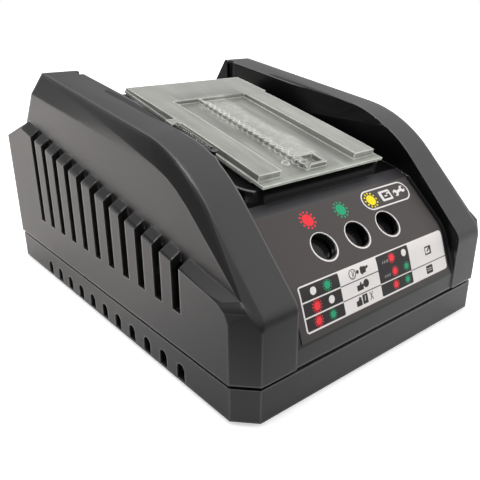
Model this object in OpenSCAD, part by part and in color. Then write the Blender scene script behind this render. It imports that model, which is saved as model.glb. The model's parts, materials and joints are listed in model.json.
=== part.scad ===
// Battery charger for slide-on tool packs: two-part case, sloped dock, sprung clear
// terminal cover, light panel, circuit board and side fan.
// Frame: +X right, +Y to the back, +Z up. Origin: centre of the footprint on the rest plane.

/* [Case] */
// Overall length, front to back, mm
body_l = 190; // [160:1:230]
// Overall width of the upper shell, mm
body_w = 135; // [125:1:160]
// Gap between the rest plane and the case, left by the feet, mm
foot_gap = 1.2; // [0.5:0.1:4]
// Height of the seam between the two shells above the case bottom, mm
seam_h = 14.1; // [10:0.1:20]
// Seam groove height, mm
seam_gap = 1.5; // [0.4:0.1:2]
// Shell wall, mm
wall = 2.5; // [1.8:0.1:4]
// Corner chamfer across the width, mm
cham_x = 7.2; // [4:0.1:12]
// Corner chamfer along the length at the front, mm
cham_y = 7.6; // [4:0.1:12]
// Distance from the side wall to the foot of the tower panel, mm
panel_in = 4.3; // [3:0.1:6]
// Distance from the side wall to the outer top edge of a tower, mm
tower_in = 8; // [6.5:0.1:10]
// Half width of the bay between the towers, mm
bay_x = 43; // [41:0.1:45]
// Half width of the bay in front of the dock, mm
bay_front = 45.2; // [43:0.1:47]

/* [Tower profile] */
// Height where the tower front starts to slope, above the case bottom, mm
front_h = 37.2; // [30:0.1:45]
// Slope of the tower front, rise over run
front_k = 1.037; // [0.8:0.001:1.4]
// Height of the tower top line at the centre, above the case bottom, mm
top_h = 88; // [80:0.1:100]
// Slope of the tower top, rise over run
top_k = 0.155; // [0.05:0.001:0.3]
// Radius of the bend between front and top, mm
bend_r = 62; // [15:1:70]
// Radius of the bend at the foot of the tower slope, mm
front_r = 7; // [2:0.5:12]
// Distance from the back to the tower top's rear edge, mm
top_in = 41.5; // [35:0.5:50]

/* [Vents] */
// Number of side slots in a row
vent_n = 11; // [5:1:14]
// Slot pitch, mm
vent_p = 11.43; // [9:0.01:14]
// Slot width, mm
vent_w = 4.8; // [3:0.1:6]
// Distance from the back to the rearmost slot, mm
vent_in = 40.4; // [35:0.1:50]
// Lower end of the upper slots above the case bottom, mm
vent_lo = 28.4; // [20:0.1:34]
// Upper end of the lower slots above the case bottom, mm
vent_hi = 7.2; // [5:0.1:10]
// Lower end of the lower slots above the case bottom, mm
vent_foot = 0.8; // [0.6:0.1:2]

/* [Dock and cover] */
// Slope of the dock, rise over run
deck_k = 0.25; // [0.1:0.01:0.4]
// Height of the dock plane at the centre above the case bottom, mm
deck_h = 78.9; // [70:0.1:90]
// Width of a side channel between plateau and tower, mm
chan_w = 4.8; // [4.5:0.1:7]
// Distance from the front to the plateau's front edge, mm
deck_in = 33.5; // [30:0.5:40]
// Length of the plateau, front to back, mm
deck_l = 93.5; // [85:0.5:100]
// Depth of the side channels below the dock, mm
chan_d = 5; // [3:0.1:8]
// Distance from the plateau's side to the clear cover, mm
cover_in = 5.7; // [4.5:0.1:7]
// Length of the cover along the dock, mm
cover_l = 95.8; // [88:0.1:100]
// How far the cover hangs over the plateau's front edge, mm
cover_over = 1.41; // [1:0.01:4]
// Travel of the cover, mm
cover_travel = 36; // [20:1:40]
// Gap between dock and cover, mm
cover_gap = 0.5; // [0.4:0.1:1]

/* [Light panel] */
// Slope angle of the light panel, degrees
panel_a = 42; // [30:0.5:60]
// Radius of the bend between light panel and table panel, mm
panel_r = 15; // [4:0.5:25]
// Spacing of the light windows, mm
led_p = 17.7; // [12:0.1:24]
// Radius of a light window, mm
led_r = 5.1; // [2:0.1:7]
// Label film thickness, mm
film_t = 0.3; // [0.2:0.05:0.6]

/* [Inside] */
// Distance from each end of the case to the circuit board, mm
pcb_end = 25; // [24:1:32]
// Circuit board thickness, mm
pcb_t = 1.6; // [1:0.1:2.4]
// Transformer core length, mm
trafo_l = 38; // [30:1:45]
// Transformer core width, mm
trafo_w = 32; // [24:1:40]
// Transformer core height, mm
trafo_h = 30; // [20:1:34]
// Radius of the large capacitor, mm
cap_r = 11; // [8:0.5:13]
// Height of the large capacitor, mm
cap_h = 32; // [20:1:38]
// Fan frame size, mm
fan_size = 50; // [40:1:60]
// Fan thickness, mm
fan_t = 15; // [10:1:16]
// Radius of the fan hub, mm
fan_hub_r = 11; // [7:0.5:14]
// Number of fan blades
fan_blades = 7; // [5:1:11]
// Cord gland bore radius, mm
cord_r = 3.5; // [2.5:0.1:5]

/* [Hidden] */
eps = 0.01;
big = 300;
fine = 64;
round_n = 48;
small_n = 24;
z0 = foot_gap;
z_seam = z0 + seam_h;
half_l = body_l / 2;
half_w = body_w / 2;
panel_x = half_w - panel_in;
tower_x = half_w - tower_in;
top_end_y = half_l - top_in;
vent_y = half_l - vent_in;
deck_x = bay_x - chan_w;
deck_y0 = -half_l + deck_in;
deck_y1 = deck_y0 + deck_l;
cover_x = deck_x - cover_in;
rear_cham = 7;
cham_inner = half_w - cham_x;
y_front_side = -half_l + cham_y;
y_rear_side = half_l - rear_cham;
deck_a = atan(deck_k);
cover_s0 = deck_y0 / cos(deck_a) - cover_over;
cover_s1 = cover_s0 + cover_l;
cover_mid = (cover_s0 + cover_s1) / 2;
lug_s0 = cover_mid + 3.9;
lug_s1 = lug_s0 + 4.5;
z_deck = z0 + deck_h;
z_front = z0 + front_h;
z_top = z0 + top_h;

// ledge lines, z = a + k*y
ledge_out_a = z0 + 57;
ledge_in_a = z0 + 59.9;
ledge_k = 0.2;
ledge_end_y = half_l - 27;
roof_rear_z = z0 + 63.3;

black = [0.09, 0.09, 0.10];
dark = [0.05, 0.05, 0.055];
clear = [0.72, 0.75, 0.72, 0.5];
green = [0.05, 0.30, 0.16];
steel = [0.72, 0.73, 0.75];
copper = [0.80, 0.45, 0.20];
alu = [0.75, 0.76, 0.78];

// ---------- helpers ----------

function unit(v) = v / norm(v);

// a place d behind the front, or d before the back
function yf(d) = -half_l + d;
function yr(d) = half_l - d;

// moves every edge of a counter-clockwise outline inwards by d
function inset(p, d) =
    let (n = len(p))
    [for (i = [0:n - 1])
        let (
            e1 = unit(p[i] - p[(i + n - 1) % n]),
            e2 = unit(p[(i + 1) % n] - p[i]),
            n1 = [-e1[1], e1[0]],
            n2 = [-e2[1], e2[0]]
        )
        p[i] + (n1 + n2) * d / (1 + n1 * n2)];

// arc of radius r tangent to the lines a-b and b-c, from the a side to the c side
function bend(a, b, c, r, n) =
    let (
        u = unit(a - b),
        v = unit(c - b),
        half = acos(u * v) / 2,
        sweep = 180 - 2 * half,
        mid = b + unit(u + v) * r / sin(half),
        p = b + u * r / tan(half) - mid,
        q = b + v * r / tan(half) - mid
    )
    [for (i = [0:n])
        mid + (p * sin(sweep * (n - i) / n) + q * sin(sweep * i / n)) / sin(sweep)];

// closed outline of a strip t thick on the left of an open line
function strip(l, t) =
    let (
        m = len(l) - 1,
        e = [for (i = [0:m - 1]) unit(l[i + 1] - l[i])],
        w = [for (i = [0:m]) e[max(i - 1, 0)] + e[min(i, m - 1)]],
        k = [for (i = [0:m]) 1 + e[max(i - 1, 0)] * e[min(i, m - 1)]]
    )
    concat(l, [for (i = [m:-1:0]) l[i] + [-w[i][1], w[i][0]] * t / k[i]]);

// outline in the YZ plane drawn out along X from x0 to x1
module yz(pts, x0, x1) {
    translate([x0, 0, 0])
        rotate([90, 0, 90])
            linear_extrude(height = x1 - x0)
                polygon(pts);
}

// places children in the dock's own frame: +Y up the slope, +Z off the dock
module on_deck() {
    translate([0, 0, z_deck])
        rotate([deck_a, 0, 0])
            children();
}

// box given by its low and high corners
module slab(lo, hi) {
    translate(lo)
        cube(hi - lo);
}

module both_sides() {
    children();
    mirror([1, 0, 0])
        children();
}

// plan outline of the case, inset by d
function plan(d) = inset([
    [-cham_inner, -half_l], [cham_inner, -half_l],
    [half_w, y_front_side], [half_w, y_rear_side],
    [cham_inner, half_l], [-cham_inner, half_l],
    [-half_w, y_rear_side], [-half_w, y_front_side]], d);

// plan outline of the hollow inside walls d thick
function plan_in(d) = [
    [-cham_inner + d, -half_l + d], [cham_inner - d, -half_l + d],
    [half_w - d, y_front_side + d], [half_w - d, y_rear_side - d],
    [cham_inner - d, half_l - d], [-cham_inner + d, half_l - d],
    [-half_w + d, y_rear_side - d], [-half_w + d, y_front_side + d]];

// ---------- case profiles (y, z), counter-clockwise ----------

bend_y = (z_top - z_front - front_k * half_l) / (front_k - top_k);
bend_z = z_top + top_k * bend_y;
bend_steps = 14;
front_steps = 4;
top_end_z = z_top + top_k * top_end_y;
rear_k = 1.3;
tower_foot_y = yr(22);
side_in = 3.06;

function tower_out(zb) = concat(
    [[-half_l, zb], [tower_foot_y, zb],
     [tower_foot_y, top_end_z - rear_k * (tower_foot_y - top_end_y)],
     [top_end_y, top_end_z]],
    bend([top_end_y, top_end_z], [bend_y, bend_z], [-half_l, z_front], bend_r, bend_steps),
    bend([bend_y, bend_z], [-half_l, z_front], [-half_l, zb], front_r, front_steps));

function tower_side(zb) = [
    [yf(side_in), zb], [tower_foot_y - 1, zb],
    [tower_foot_y - 1, z0 + 71.9], [yr(35), z0 + 87],
    [yf(61), z0 + 75.8], [yf(51), z0 + 74.4], [yf(44), z0 + 72],
    [yf(38.5), z0 + 69], [yf(33), z0 + 65], [yf(side_in), z0 + 38.6]];

function low_side(zb) = [
    [y_front_side, zb], [y_rear_side, zb],
    [y_rear_side, roof_rear_z + 1.3],
    [ledge_end_y, ledge_out_a + ledge_k * ledge_end_y],
    [yf(12.9), ledge_out_a + ledge_k * yf(15)],
    [yf(9.4), z0 + 39], [y_front_side, z0 + 35.8]];

function low_mid(zb) = [
    [yf(side_in), zb], [yr(side_in), zb],
    [yr(side_in), roof_rear_z + 0.6],
    [ledge_end_y, ledge_in_a + ledge_k * ledge_end_y],
    low_front,
    [yf(side_in), z0 + 39.6]];

low_front = [yf(6.5), ledge_in_a + ledge_k * yf(6.5)];
function low_in(zb) = concat(
    [[-half_l, zb], [half_l, zb],
     [half_l, roof_rear_z],
     [ledge_end_y, ledge_in_a + ledge_k * ledge_end_y],
     low_front],
    bend(low_front, [-half_l, z_front], [-half_l, zb], front_r, front_steps));

// centre profile: foot, steep table panel, light panel, step, channel floor, rear roof
panel_foot_y = yf(0.6);
panel_bend = [yf(7), z0 + 39.1];
panel_top_y = yf(26.5);
panel_k = tan(panel_a);
panel_top_z = panel_bend[1] + panel_k * (panel_top_y - panel_bend[0]);
panel_foot = [panel_foot_y, z0 + 20.8];
panel_top = [panel_top_y, panel_top_z];
panel_steps = 5;
function chan_z(y) = z_deck - chan_d + deck_k * y;

function centre_cut() = concat(
    [[-half_l - 5, -5], [panel_foot_y, -5], panel_foot],
    bend(panel_foot, panel_bend, panel_top, panel_r, panel_steps),
    [panel_top, [deck_y0, chan_z(deck_y0) + 0.4], [deck_y1, chan_z(deck_y1)],
     [ledge_end_y, ledge_in_a + ledge_k * ledge_end_y],
     [half_l + 5, roof_rear_z - 1.7], [half_l + 5, big], [-half_l - 5, big]]);

function centre_body(zb) = concat(
    [[panel_foot_y, zb], [half_l, zb], [half_l, roof_rear_z],
     [ledge_end_y, ledge_in_a + ledge_k * ledge_end_y],
     [deck_y1, chan_z(deck_y1)], [deck_y0, chan_z(deck_y0) + 0.4], panel_top],
    bend(panel_top, panel_bend, panel_foot, panel_r, panel_steps),
    [panel_foot]);

deck_round = 9;
deck_arc_n = 8;
function deck_plan(x, y0, y1, r) = concat(
    [[x, y1], [-x, y1]],
    [for (i = [0:deck_arc_n])
        let (a = 180 + 90 * i / deck_arc_n)
        [-x + r + r * cos(a), y0 + r + r * sin(a)]],
    [for (i = [0:deck_arc_n])
        let (a = 270 + 90 * i / deck_arc_n)
        [x - r + r * cos(a), y0 + r + r * sin(a)]]);

// ---------- light panel frame ----------

led_x = -1.7;
led_y = yf(14.5);
led_z = panel_bend[1] + panel_k * (led_y - panel_bend[0]);
led_lens_n = 3;

// +Y up the panel, +Z out of it, origin at the middle window
module on_panel() {
    translate([0, led_y, led_z])
        rotate([panel_a, 0, 0])
            children();
}

module each_led() {
    for (i = [0:led_lens_n - 1])
        translate([led_x + (i - 1) * led_p, 0, 0])
            children();
}

// ---------- fixing points ----------

case_screw_x = half_w - 13.5;
case_screw_y = half_l - 16;
boss_front_z = z0 + 47.5;
boss_rear_z = z0 + 67;
case_points = [[-case_screw_x, -case_screw_y, boss_front_z], [case_screw_x, -case_screw_y, boss_front_z],
    [-case_screw_x, case_screw_y, boss_rear_z], [case_screw_x, case_screw_y, boss_rear_z]];
boss_r = 3.8;
boss_hole = 1.45;
boss_gap = 0.2;
post_r = 4.5;
post_top = z0 + 15;
head_r = 3.2;
head_bore = 3.6;
head_z = z0 + 8;
shank_r = 1.4;
pass_r = 1.9;

fan_x = -half_w + 15.5;
pcb_x0 = fan_x + fan_t / 2 + 4.5;
pcb_x1 = half_w - 7.5;
pcb_y = half_l - pcb_end;
pcb_z = z0 + 16;
pcb_top = pcb_z + pcb_t;
pcb_in = 5;
pcb_points = [[pcb_x0 + pcb_in, -pcb_y + pcb_in], [pcb_x1 - pcb_in, -pcb_y + pcb_in],
    [pcb_x0 + pcb_in, pcb_y - pcb_in], [pcb_x1 - pcb_in, pcb_y - pcb_in]];
pcb_post_r = 3.4;
pcb_hole_r = 1.1;
pcb_screw_r = 1.05;
pcb_clear_r = 1.6;

foot_x = half_w - 17.5;
foot_y = half_l - 33;
foot_r = 6;
foot_depth = 1;
foot_points = [[-foot_x, -foot_y], [foot_x, -foot_y], [-foot_x, foot_y], [foot_x, foot_y]];

// terminal well, in the dock frame
well_x = 17.5;
well_s0 = cover_mid - 17.1;
well_s1 = well_s0 + 44;
well_floor = -10;
block_gap = 0.3;
flange_x = well_x + 9.5;
flange_t = 2.2;
term_x = well_x + 4.5;
term_points = [[-term_x, well_s0 + 10], [term_x, well_s0 + 10],
    [-term_x, well_s1 - 8], [term_x, well_s1 - 8]];
term_boss_r = 2.6;
term_hole_r = 1;

// cover rails, in the dock frame
rail_x = cover_x - 6.5;
rail_s0 = cover_s0 + cover_travel + 10.8;
rail_s1 = cover_s1 - 0.9;
rail_stem = 1.1;
rail_head = 2.8;
rail_head_lo = 1.95;
rail_head_hi = 2.75;

// spring, in the dock frame
spring_x = cover_x + 2.2;
spring_v = 4;
spring_r = 1.55;
wire_r = 0.3;
spring_s0 = lug_s0 - 24;
spring_s1 = lug_s0;
spring_turns = 15;
hook_r = 0.9;
hook_in = 1.6;

// fan
fan_y = yr(70);
fan_lo = z0 + 19.5;
fan_z = fan_lo + fan_size / 2;
fan_bore = fan_size / 2 - 1.4;
fan_tip = fan_bore - 0.6;
fan_shaft_r = 1;
fan_bush_r = 2.4;

gland_x = 34;
gland_z = z0 + 27;
gland_hole = 6;
gland_len = 12;
gland_in = 0.2;
clamp_y = half_l - 17;

// ---------- upper shell ----------

module low_block(d, zb) {
    xs = half_w - d;
    xm = panel_x - d;
    xi = cham_inner - d;
    hull() {
        yz(inset(low_side(zb), d), -xs, xs);
        yz(inset(low_mid(zb), d), -xm, xm);
        yz(inset(low_in(zb), d), -xi, xi);
    }
}

module tower_block(x_in, d, zb) {
    hull() {
        yz(inset(tower_out(zb), d), x_in, tower_x - d);
        yz(inset(tower_side(zb), d), x_in, panel_x - d);
    }
}

module deck_solid(x, y0, y1, drop, zb, r) {
    difference() {
        translate([0, 0, zb])
            linear_extrude(height = z_deck + 20 - zb)
                polygon(deck_plan(x, y0, y1, r));
        on_deck()
            slab([-big, -big, -drop], [big, big, big]);
    }
}

relief_d = 3.5;
relief_y = top_end_y - 50;
relief = [[bay_x - 1, relief_y + 2], [bay_x, relief_y - 2], [bay_x + 0.6 * relief_d, relief_y - 17],
    [bay_x + relief_d, relief_y - 28], [bay_x + relief_d - 0.2, yf(57)], [bay_front, yf(47)],
    [bay_front, yf(44)], [bay_x - 1, yf(34)]];
relief_z = z0 + 76;
module side_relief() {
    translate([0, 0, relief_z])
        linear_extrude(height = 40)
            polygon(relief);
}

// the bay widens in front of the dock
bay_turn_y0 = yf(39);
bay_turn_y1 = yf(55);
function front_cut() = concat(
    [[-half_l - 5, -5], [panel_foot_y, -5], panel_foot],
    bend(panel_foot, panel_bend, panel_top, panel_r, panel_steps),
    [panel_top, [deck_y0, chan_z(deck_y0) + 0.4], [bay_turn_y1 + 5, chan_z(bay_turn_y1 + 5)],
     [bay_turn_y1 + 5, big], [-half_l - 5, big]]);

// plan of the wider front, d outside it
function front_plan(d) = [
    [-bay_front - d, -half_l - 10], [bay_front + d, -half_l - 10],
    [bay_front + d, bay_turn_y0 + d], [bay_x - 1 + d, bay_turn_y1 + d],
    [-bay_x + 1 - d, bay_turn_y1 + d], [-bay_front - d, bay_turn_y0 + d]];

module bay_mouth(d) {
    intersection() {
        yz(inset(front_cut(), -d), -bay_front - d, bay_front + d);
        translate([0, 0, -20])
            linear_extrude(height = big)
                polygon(front_plan(d));
    }
}
slot_y0 = top_end_y - 6.5;
slot_y1 = slot_y0 + 4.5;
slot_depth = 2;

module vents() {
    for (i = [0:vent_n - 1])
        translate([0, vent_y - i * vent_p, 0]) {
            slab([panel_x + eps, -vent_w / 2, z0 + vent_lo], [half_w + 1, vent_w / 2, big]);
        }
}

module top_shell() {
    color(black)
    difference() {
        union() {
            difference() {
                union() {
                    difference() {
                        union() {
                            low_block(0, z_seam);
                            tower_block(bay_x, 0, z_seam + 5);
                            mirror([1, 0, 0])
                                tower_block(bay_x, 0, z_seam + 5);
                            yz(centre_body(z_seam), -bay_x - 1, bay_x + 1);
                        }
                        yz(centre_cut(), -bay_x, bay_x);
                        bay_mouth(0);
                    }
                    deck_solid(deck_x, deck_y0, deck_y1, 0, z0 + 50, deck_round);
                }
                difference() {
                    low_block(wall, -20);
                    yz(inset(centre_cut(), -wall), -bay_x - wall, bay_x + wall);
                    bay_mouth(wall);
                }
                both_sides()
                    tower_cavity();
                yz(inset(centre_body(-20), wall), -panel_x + wall, panel_x - wall);
                deck_solid(deck_x - wall, deck_y0 + wall, deck_y1 - wall, wall, z0 + 48, deck_round);
            }
            top_bosses();
            spring_hook();
        }
        both_sides()
            vents();
        both_sides()
            side_relief();
        both_sides()
            slab([bay_x - 1, slot_y0, z0 + 80], [bay_x + slot_depth, slot_y1, big]);
        on_deck()
            slab([-well_x, well_s0, -20], [well_x, well_s1, 10]);
        on_panel()
            each_led()
                cylinder(r = led_r, h = 20, center = true, $fn = fine);
        on_panel()
            for (s = [-1, 1])
                translate([s * led_boss_x, 0, led_boss_end - eps])
                    cylinder(r = 1.1, h = 5, $fn = small_n);
        for (p = case_points)
            translate([p[0], p[1], z0 + 14])
                cylinder(r = boss_hole, h = 18, $fn = small_n);
        on_deck()
            for (p = term_points)
                translate([p[0], p[1], -10])
                    cylinder(r = term_hole_r, h = 9, $fn = small_n);
        slab([gland_x - gland_hole, half_l - wall - 2, 0],
            [gland_x + gland_hole, half_l + 1, gland_z + gland_hole]);
    }
}

module tower_cavity() {
    difference() {
        tower_block(bay_x + wall, wall, 0);
        slab([bay_x, yf(27), relief_z - wall], [bay_x + relief_d + wall, relief_y + 4, big]);
        bay_mouth(wall);
    }
}

led_boss_x = 29;
led_boss_end = -9;
module top_bosses() {
    for (p = case_points)
        translate([p[0], p[1], post_top + boss_gap])
            cylinder(r = boss_r, h = p[2] - post_top - boss_gap, $fn = round_n);
    on_deck()
        for (p = term_points)
            translate([p[0], p[1], -5])
                cylinder(r = term_boss_r, h = 4, $fn = small_n);
    on_panel()
        for (s = [-1, 1])
            translate([s * led_boss_x, 0, led_boss_end])
                cylinder(r = 2.4, h = -led_boss_end - 1, $fn = small_n);
}

module spring_hook() {
    on_deck() {
        translate([-spring_x, spring_s0 - hook_in, -1])
            cylinder(r = hook_r, h = spring_v + 1.9, $fn = small_n);
        translate([-spring_x, spring_s0 - hook_in, spring_v + 0.6])
            cylinder(r = hook_r + 0.5, h = 0.6, $fn = small_n);
    }
}

// ---------- lower shell ----------

lip_h = 3.2;
lip_gap = 0.3;
lip_t = 1.6;
module base_shell() {
    color(black)
    difference() {
        union() {
            difference() {
                translate([0, 0, z0])
                    linear_extrude(height = seam_h - seam_gap)
                        polygon(plan(0.5));
                translate([0, 0, z0 + wall])
                    linear_extrude(height = big)
                        polygon(plan(0.5 + wall));
            }
            difference() {
                translate([0, 0, z0 + 9])
                    linear_extrude(height = seam_h - 9 + lip_h)
                        polygon(plan_in(wall + lip_gap));
                translate([0, 0, z0])
                    linear_extrude(height = big)
                        polygon(plan_in(wall + lip_gap + lip_t));
                slab([-bay_front - wall - 0.4, -half_l, z_seam - seam_gap],
                    [bay_front + wall + 0.4, -half_l + 6, big]);
            }
            for (p = case_points)
                translate([p[0], p[1], z0])
                    cylinder(r = post_r, h = post_top - z0, $fn = round_n);
            for (p = pcb_points)
                translate([p[0], p[1], z0 + 1])
                    cylinder(r = pcb_post_r, h = pcb_z - z0 - 1, $fn = round_n);
            clamp_seat();
            gland_tongue();
            fan_cradle();
        }
        for (p = case_points)
            translate([p[0], p[1], 0]) {
                cylinder(r = pass_r, h = 40, $fn = small_n);
                translate([0, 0, -1])
                    cylinder(r = head_bore, h = head_z + 1, $fn = round_n);
            }
        for (p = pcb_points)
            translate([p[0], p[1], z0 + 5])
                cylinder(r = pcb_hole_r, h = 20, $fn = small_n);
        for (p = foot_points)
            translate([p[0], p[1], 0])
                cylinder(r = foot_r, h = z0 + foot_depth, $fn = fine);
        both_sides()
            low_vents();
    }
}

module low_vents() {
    for (i = [0:vent_n - 1])
        translate([0, vent_y - i * vent_p, 0]) {
            slab([half_w - 5, -vent_w / 2, z0 + vent_foot],
                [half_w + 1, vent_w / 2, z0 + vent_hi - vent_w / 2]);
            translate([half_w - 5, 0, z0 + vent_hi - vent_w / 2])
                rotate([0, 90, 0])
                    cylinder(r = vent_w / 2, h = 6, $fn = small_n);
        }
}

tongue_gap = 0.15;
module gland_tongue() {
    slab([gland_x - gland_hole + tongue_gap, half_l - wall, z_seam - 4],
        [gland_x + gland_hole - tongue_gap, half_l - 0.5, gland_z - gland_hole - tongue_gap]);
}

clamp_h = gland_z - 0.6;
clamp_x = 12;
clamp_d = 4;
clamp_screw_x = 8.5;
module clamp_seat() {
    difference() {
        slab([gland_x - clamp_x, clamp_y - clamp_d, z0 + 1],
            [gland_x + clamp_x, clamp_y + clamp_d, clamp_h]);
        translate([gland_x, clamp_y, gland_z])
            rotate([90, 0, 0])
                cylinder(r = cord_r, h = 2 * clamp_d + 4, center = true, $fn = round_n);
        for (s = [-1, 1])
            translate([gland_x + s * clamp_screw_x, clamp_y, clamp_h - 12])
                cylinder(r = 1, h = 20, $fn = small_n);
    }
}

fan_x0 = fan_x - fan_t / 2;
fan_x1 = fan_x + fan_t / 2;
fan_y0 = fan_y - fan_size / 2;
fan_y1 = fan_y + fan_size / 2;
module fan_cradle() {
    for (y = [fan_y0 + 8, fan_y1 - 8])
        difference() {
            slab([fan_x0 - 2.2, y - 3, z0 + 1], [fan_x1 + 2.2, y + 3, fan_lo + 9]);
            slab([fan_x0, y - 4, fan_lo], [fan_x1, y + 4, fan_lo + 20]);
        }
}

module rubber_feet() {
    color(dark)
    for (p = foot_points)
        translate([p[0], p[1], 0])
            cylinder(r = foot_r - 0.1, h = z0 + foot_depth, $fn = fine);
}

module case_screws() {
    color(steel)
    for (p = case_points)
        translate([p[0], p[1], 0])
            difference() {
                union() {
                    translate([0, 0, head_z - 2.4])
                        cylinder(r = head_r, h = 2.4, $fn = round_n);
                    translate([0, 0, head_z - eps])
                        cylinder(r = shank_r, h = 16, $fn = small_n);
                }
                for (a = [0, 90])
                    rotate([0, 0, a])
                        slab([-1.9, -0.45, head_z - 3], [1.9, 0.45, head_z - 1.1]);
            }
}

// ---------- light panel ----------

film_x = bay_front - 2.8;
film_in = 1;
film_line = concat(
    [panel_foot + film_in * unit(panel_bend - panel_foot)],
    bend(panel_foot, panel_bend, panel_top, panel_r, panel_steps),
    [panel_top]);

module indicator_label() {
    color([0.33, 0.32, 0.31])
    difference() {
        yz(strip(film_line, film_t), -film_x, film_x);
        on_panel()
            each_led()
                cylinder(r = led_r + 0.15, h = 6, center = true, $fn = fine);
    }
}

lens_z = -3.4;
module led_lenses() {
    color([0.25, 0.25, 0.26])
    on_panel()
        each_led() {
            translate([0, 0, lens_z - 3.4])
                cylinder(r = led_r - 0.15, h = 3.4, $fn = fine);
            translate([0, 0, lens_z - 4.4])
                cylinder(r = led_r + 1.2, h = 1.2, $fn = fine);
        }
}

led_board_z = led_boss_end - pcb_t;
led_board_h = 8;
led_board_x = led_boss_x + 4;
module led_board() {
    color(green)
    on_panel()
        difference() {
            slab([-led_board_x, -led_board_h, led_board_z],
                [led_board_x, led_board_h, led_board_z + pcb_t]);
            for (s = [-1, 1])
                translate([s * led_boss_x, 0, led_board_z - 1])
                    cylinder(r = 1.2, h = 5, $fn = small_n);
        }
}

led_h = 1;
module indicator_leds() {
    color([0.85, 0.85, 0.82])
    on_panel()
        each_led()
            translate([0, 0, led_board_z + pcb_t])
                cylinder(r = 2.4, h = led_h, $fn = round_n);
}

module led_board_screws() {
    color(steel)
    on_panel()
        for (s = [-1, 1])
            translate([s * led_boss_x, 0, 0]) {
                translate([0, 0, led_board_z - 1.2])
                    cylinder(r = 2, h = 1.2, $fn = small_n);
                translate([0, 0, led_board_z - eps])
                    cylinder(r = 1.05, h = pcb_t + 4, $fn = small_n);
            }
}

// ---------- cover, rails and springs ----------

lip_lo = cover_gap;
lip_hi = 1.55;
lip_s0 = cover_s0 + 7;
plate_lo = 1.6;
plate_hi = 2.6;
pocket_s0 = lip_s0 + 1.3;
pocket_hi = 3.1;
strip_x0 = cover_x - 12.5;
strip_s0 = cover_s0 + 3.6;
strip_left = [-cover_x + 0.6, -cover_x + 11.2];
strip_right = [cover_x - 14, cover_x - 2.3];
arch_r = 1675;
arch_s = cover_mid - 27;
arch_v = 5.28;
arch_n = 18;
rear_zone = cover_s1 - 22;

function arch(s) = arch_v - (arch_r - sqrt(arch_r * arch_r - (s - arch_s) * (s - arch_s)));
function arch_shape(s0, s1) = concat(
    [[s0, plate_lo], [s1, plate_lo]],
    [for (i = [0:arch_n])
        let (s = s1 + (s0 - s1) * i / arch_n)
        [s, arch(s)]]);

rib_x = -7;
rib_step = 3.4;
frame_s0 = cover_s0 + 4;
frame_s1 = frame_s0 + 8.5;
frame_x0 = -6;
frame_x1 = 3;
frame_t = 1.1;
frame_h = 1.9;
frame_floor = 0.7;
gate_at = [rib_x - 4.7, cover_s0 + 11.3];

module terminal_cover() {
    color(clear)
    on_deck()
        difference() {
            union() {
                slab([-cover_x, cover_s0, plate_lo], [cover_x, cover_s1, plate_hi]);
                yz(arch_shape(strip_s0, cover_s1), strip_left[0], strip_left[1]);
                yz(arch_shape(strip_s0, cover_s1), strip_right[0], strip_right[1]);
                yz(arch_shape(rear_zone, cover_s1), -cover_x + 0.6, cover_x - 0.6);
                both_sides()
                    slab([strip_x0, lip_s0, lip_lo], [cover_x - 0.6, cover_s1, plate_lo + eps]);
                // centre rib with teeth
                slab([rib_x - 0.7, cover_s0 + 3.8, plate_hi - eps],
                    [rib_x + 0.7, rear_zone + eps, plate_hi + 1.4]);
                for (s = [cover_s0 + 6.8:rib_step:rear_zone - 5])
                    translate([rib_x, s, plate_hi - eps])
                        cylinder(r = 1.5, h = frame_h, $fn = small_n);
                // raised frame at the front
                slab([frame_x0, frame_s0, plate_hi - eps], [frame_x1, frame_s1, plate_hi + frame_h]);
                // gate mark left by the mould
                translate([gate_at[0], gate_at[1], plate_hi - eps])
                    cylinder(r = 1.5, h = 0.5, $fn = small_n);
                // spring lug
                slab([-spring_x - 1.7, lug_s0, lip_lo + 0.3], [-cover_x + 1, lug_s1, arch(lug_s0)]);
            }
            slab([frame_x0 + frame_t, frame_s0 + frame_t, plate_lo + frame_floor],
                [frame_x1 - frame_t, frame_s1 - frame_t, big]);
            slab([-well_x + 0.5, rear_zone + 2, -eps], [well_x - 0.5, cover_s1 - 1.6, pocket_hi]);
            both_sides()
                rail_pocket();
        }
}

module rail_pocket() {
    slab([rail_x - rail_head - 0.6, pocket_s0, lip_hi],
        [rail_x + rail_head + 0.6, cover_s1 - 0.6, pocket_hi]);
    slab([rail_x - rail_stem - 0.5, pocket_s0, -eps],
        [rail_x + rail_stem + 0.5, cover_s1 - 0.6, lip_hi + eps]);
}

module guide_rails() {
    color(dark)
    on_deck()
        both_sides() {
            slab([rail_x - rail_stem, rail_s0, 0], [rail_x + rail_stem, rail_s1, rail_head_lo + eps]);
            slab([rail_x - rail_head, rail_s0, rail_head_lo], [rail_x + rail_head, rail_s1, rail_head_hi]);
        }
}

coil_span = 150;
coil_n = 3;
function coil_section() = concat(
    [for (i = [0:coil_n])
        let (a = coil_span * i / coil_n)
        (spring_r + wire_r) * [cos(a), sin(a)]],
    [for (i = [0:coil_n])
        let (a = coil_span * (coil_n - i) / coil_n)
        (spring_r - wire_r) * [cos(a), sin(a)]]);

module cover_spring() {
    color(steel)
    on_deck()
        translate([-spring_x, 0, spring_v]) {
            translate([0, spring_s0 + 1, 0])
                rotate([-90, 0, 0])
                    linear_extrude(height = spring_s1 - spring_s0 - 1.4, twist = -360 * spring_turns,
                        slices = spring_turns * 10, convexity = 6)
                        polygon(coil_section());
            translate([0, spring_s0 - hook_in, 0])
                rotate_extrude($fn = small_n)
                    translate([hook_r + 0.4, 0, 0])
                        circle(r = wire_r, $fn = small_n);
            translate([0, spring_s0 - hook_in + hook_r + 0.3, 0])
                rotate([-90, 0, 0])
                    cylinder(r = wire_r, h = 2, $fn = small_n);
            translate([0, spring_s0 + 1.3, 0])
                slab([-spring_r, -0.3, -0.3], [spring_r, 0.3, 0.3]);
        }
}

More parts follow.
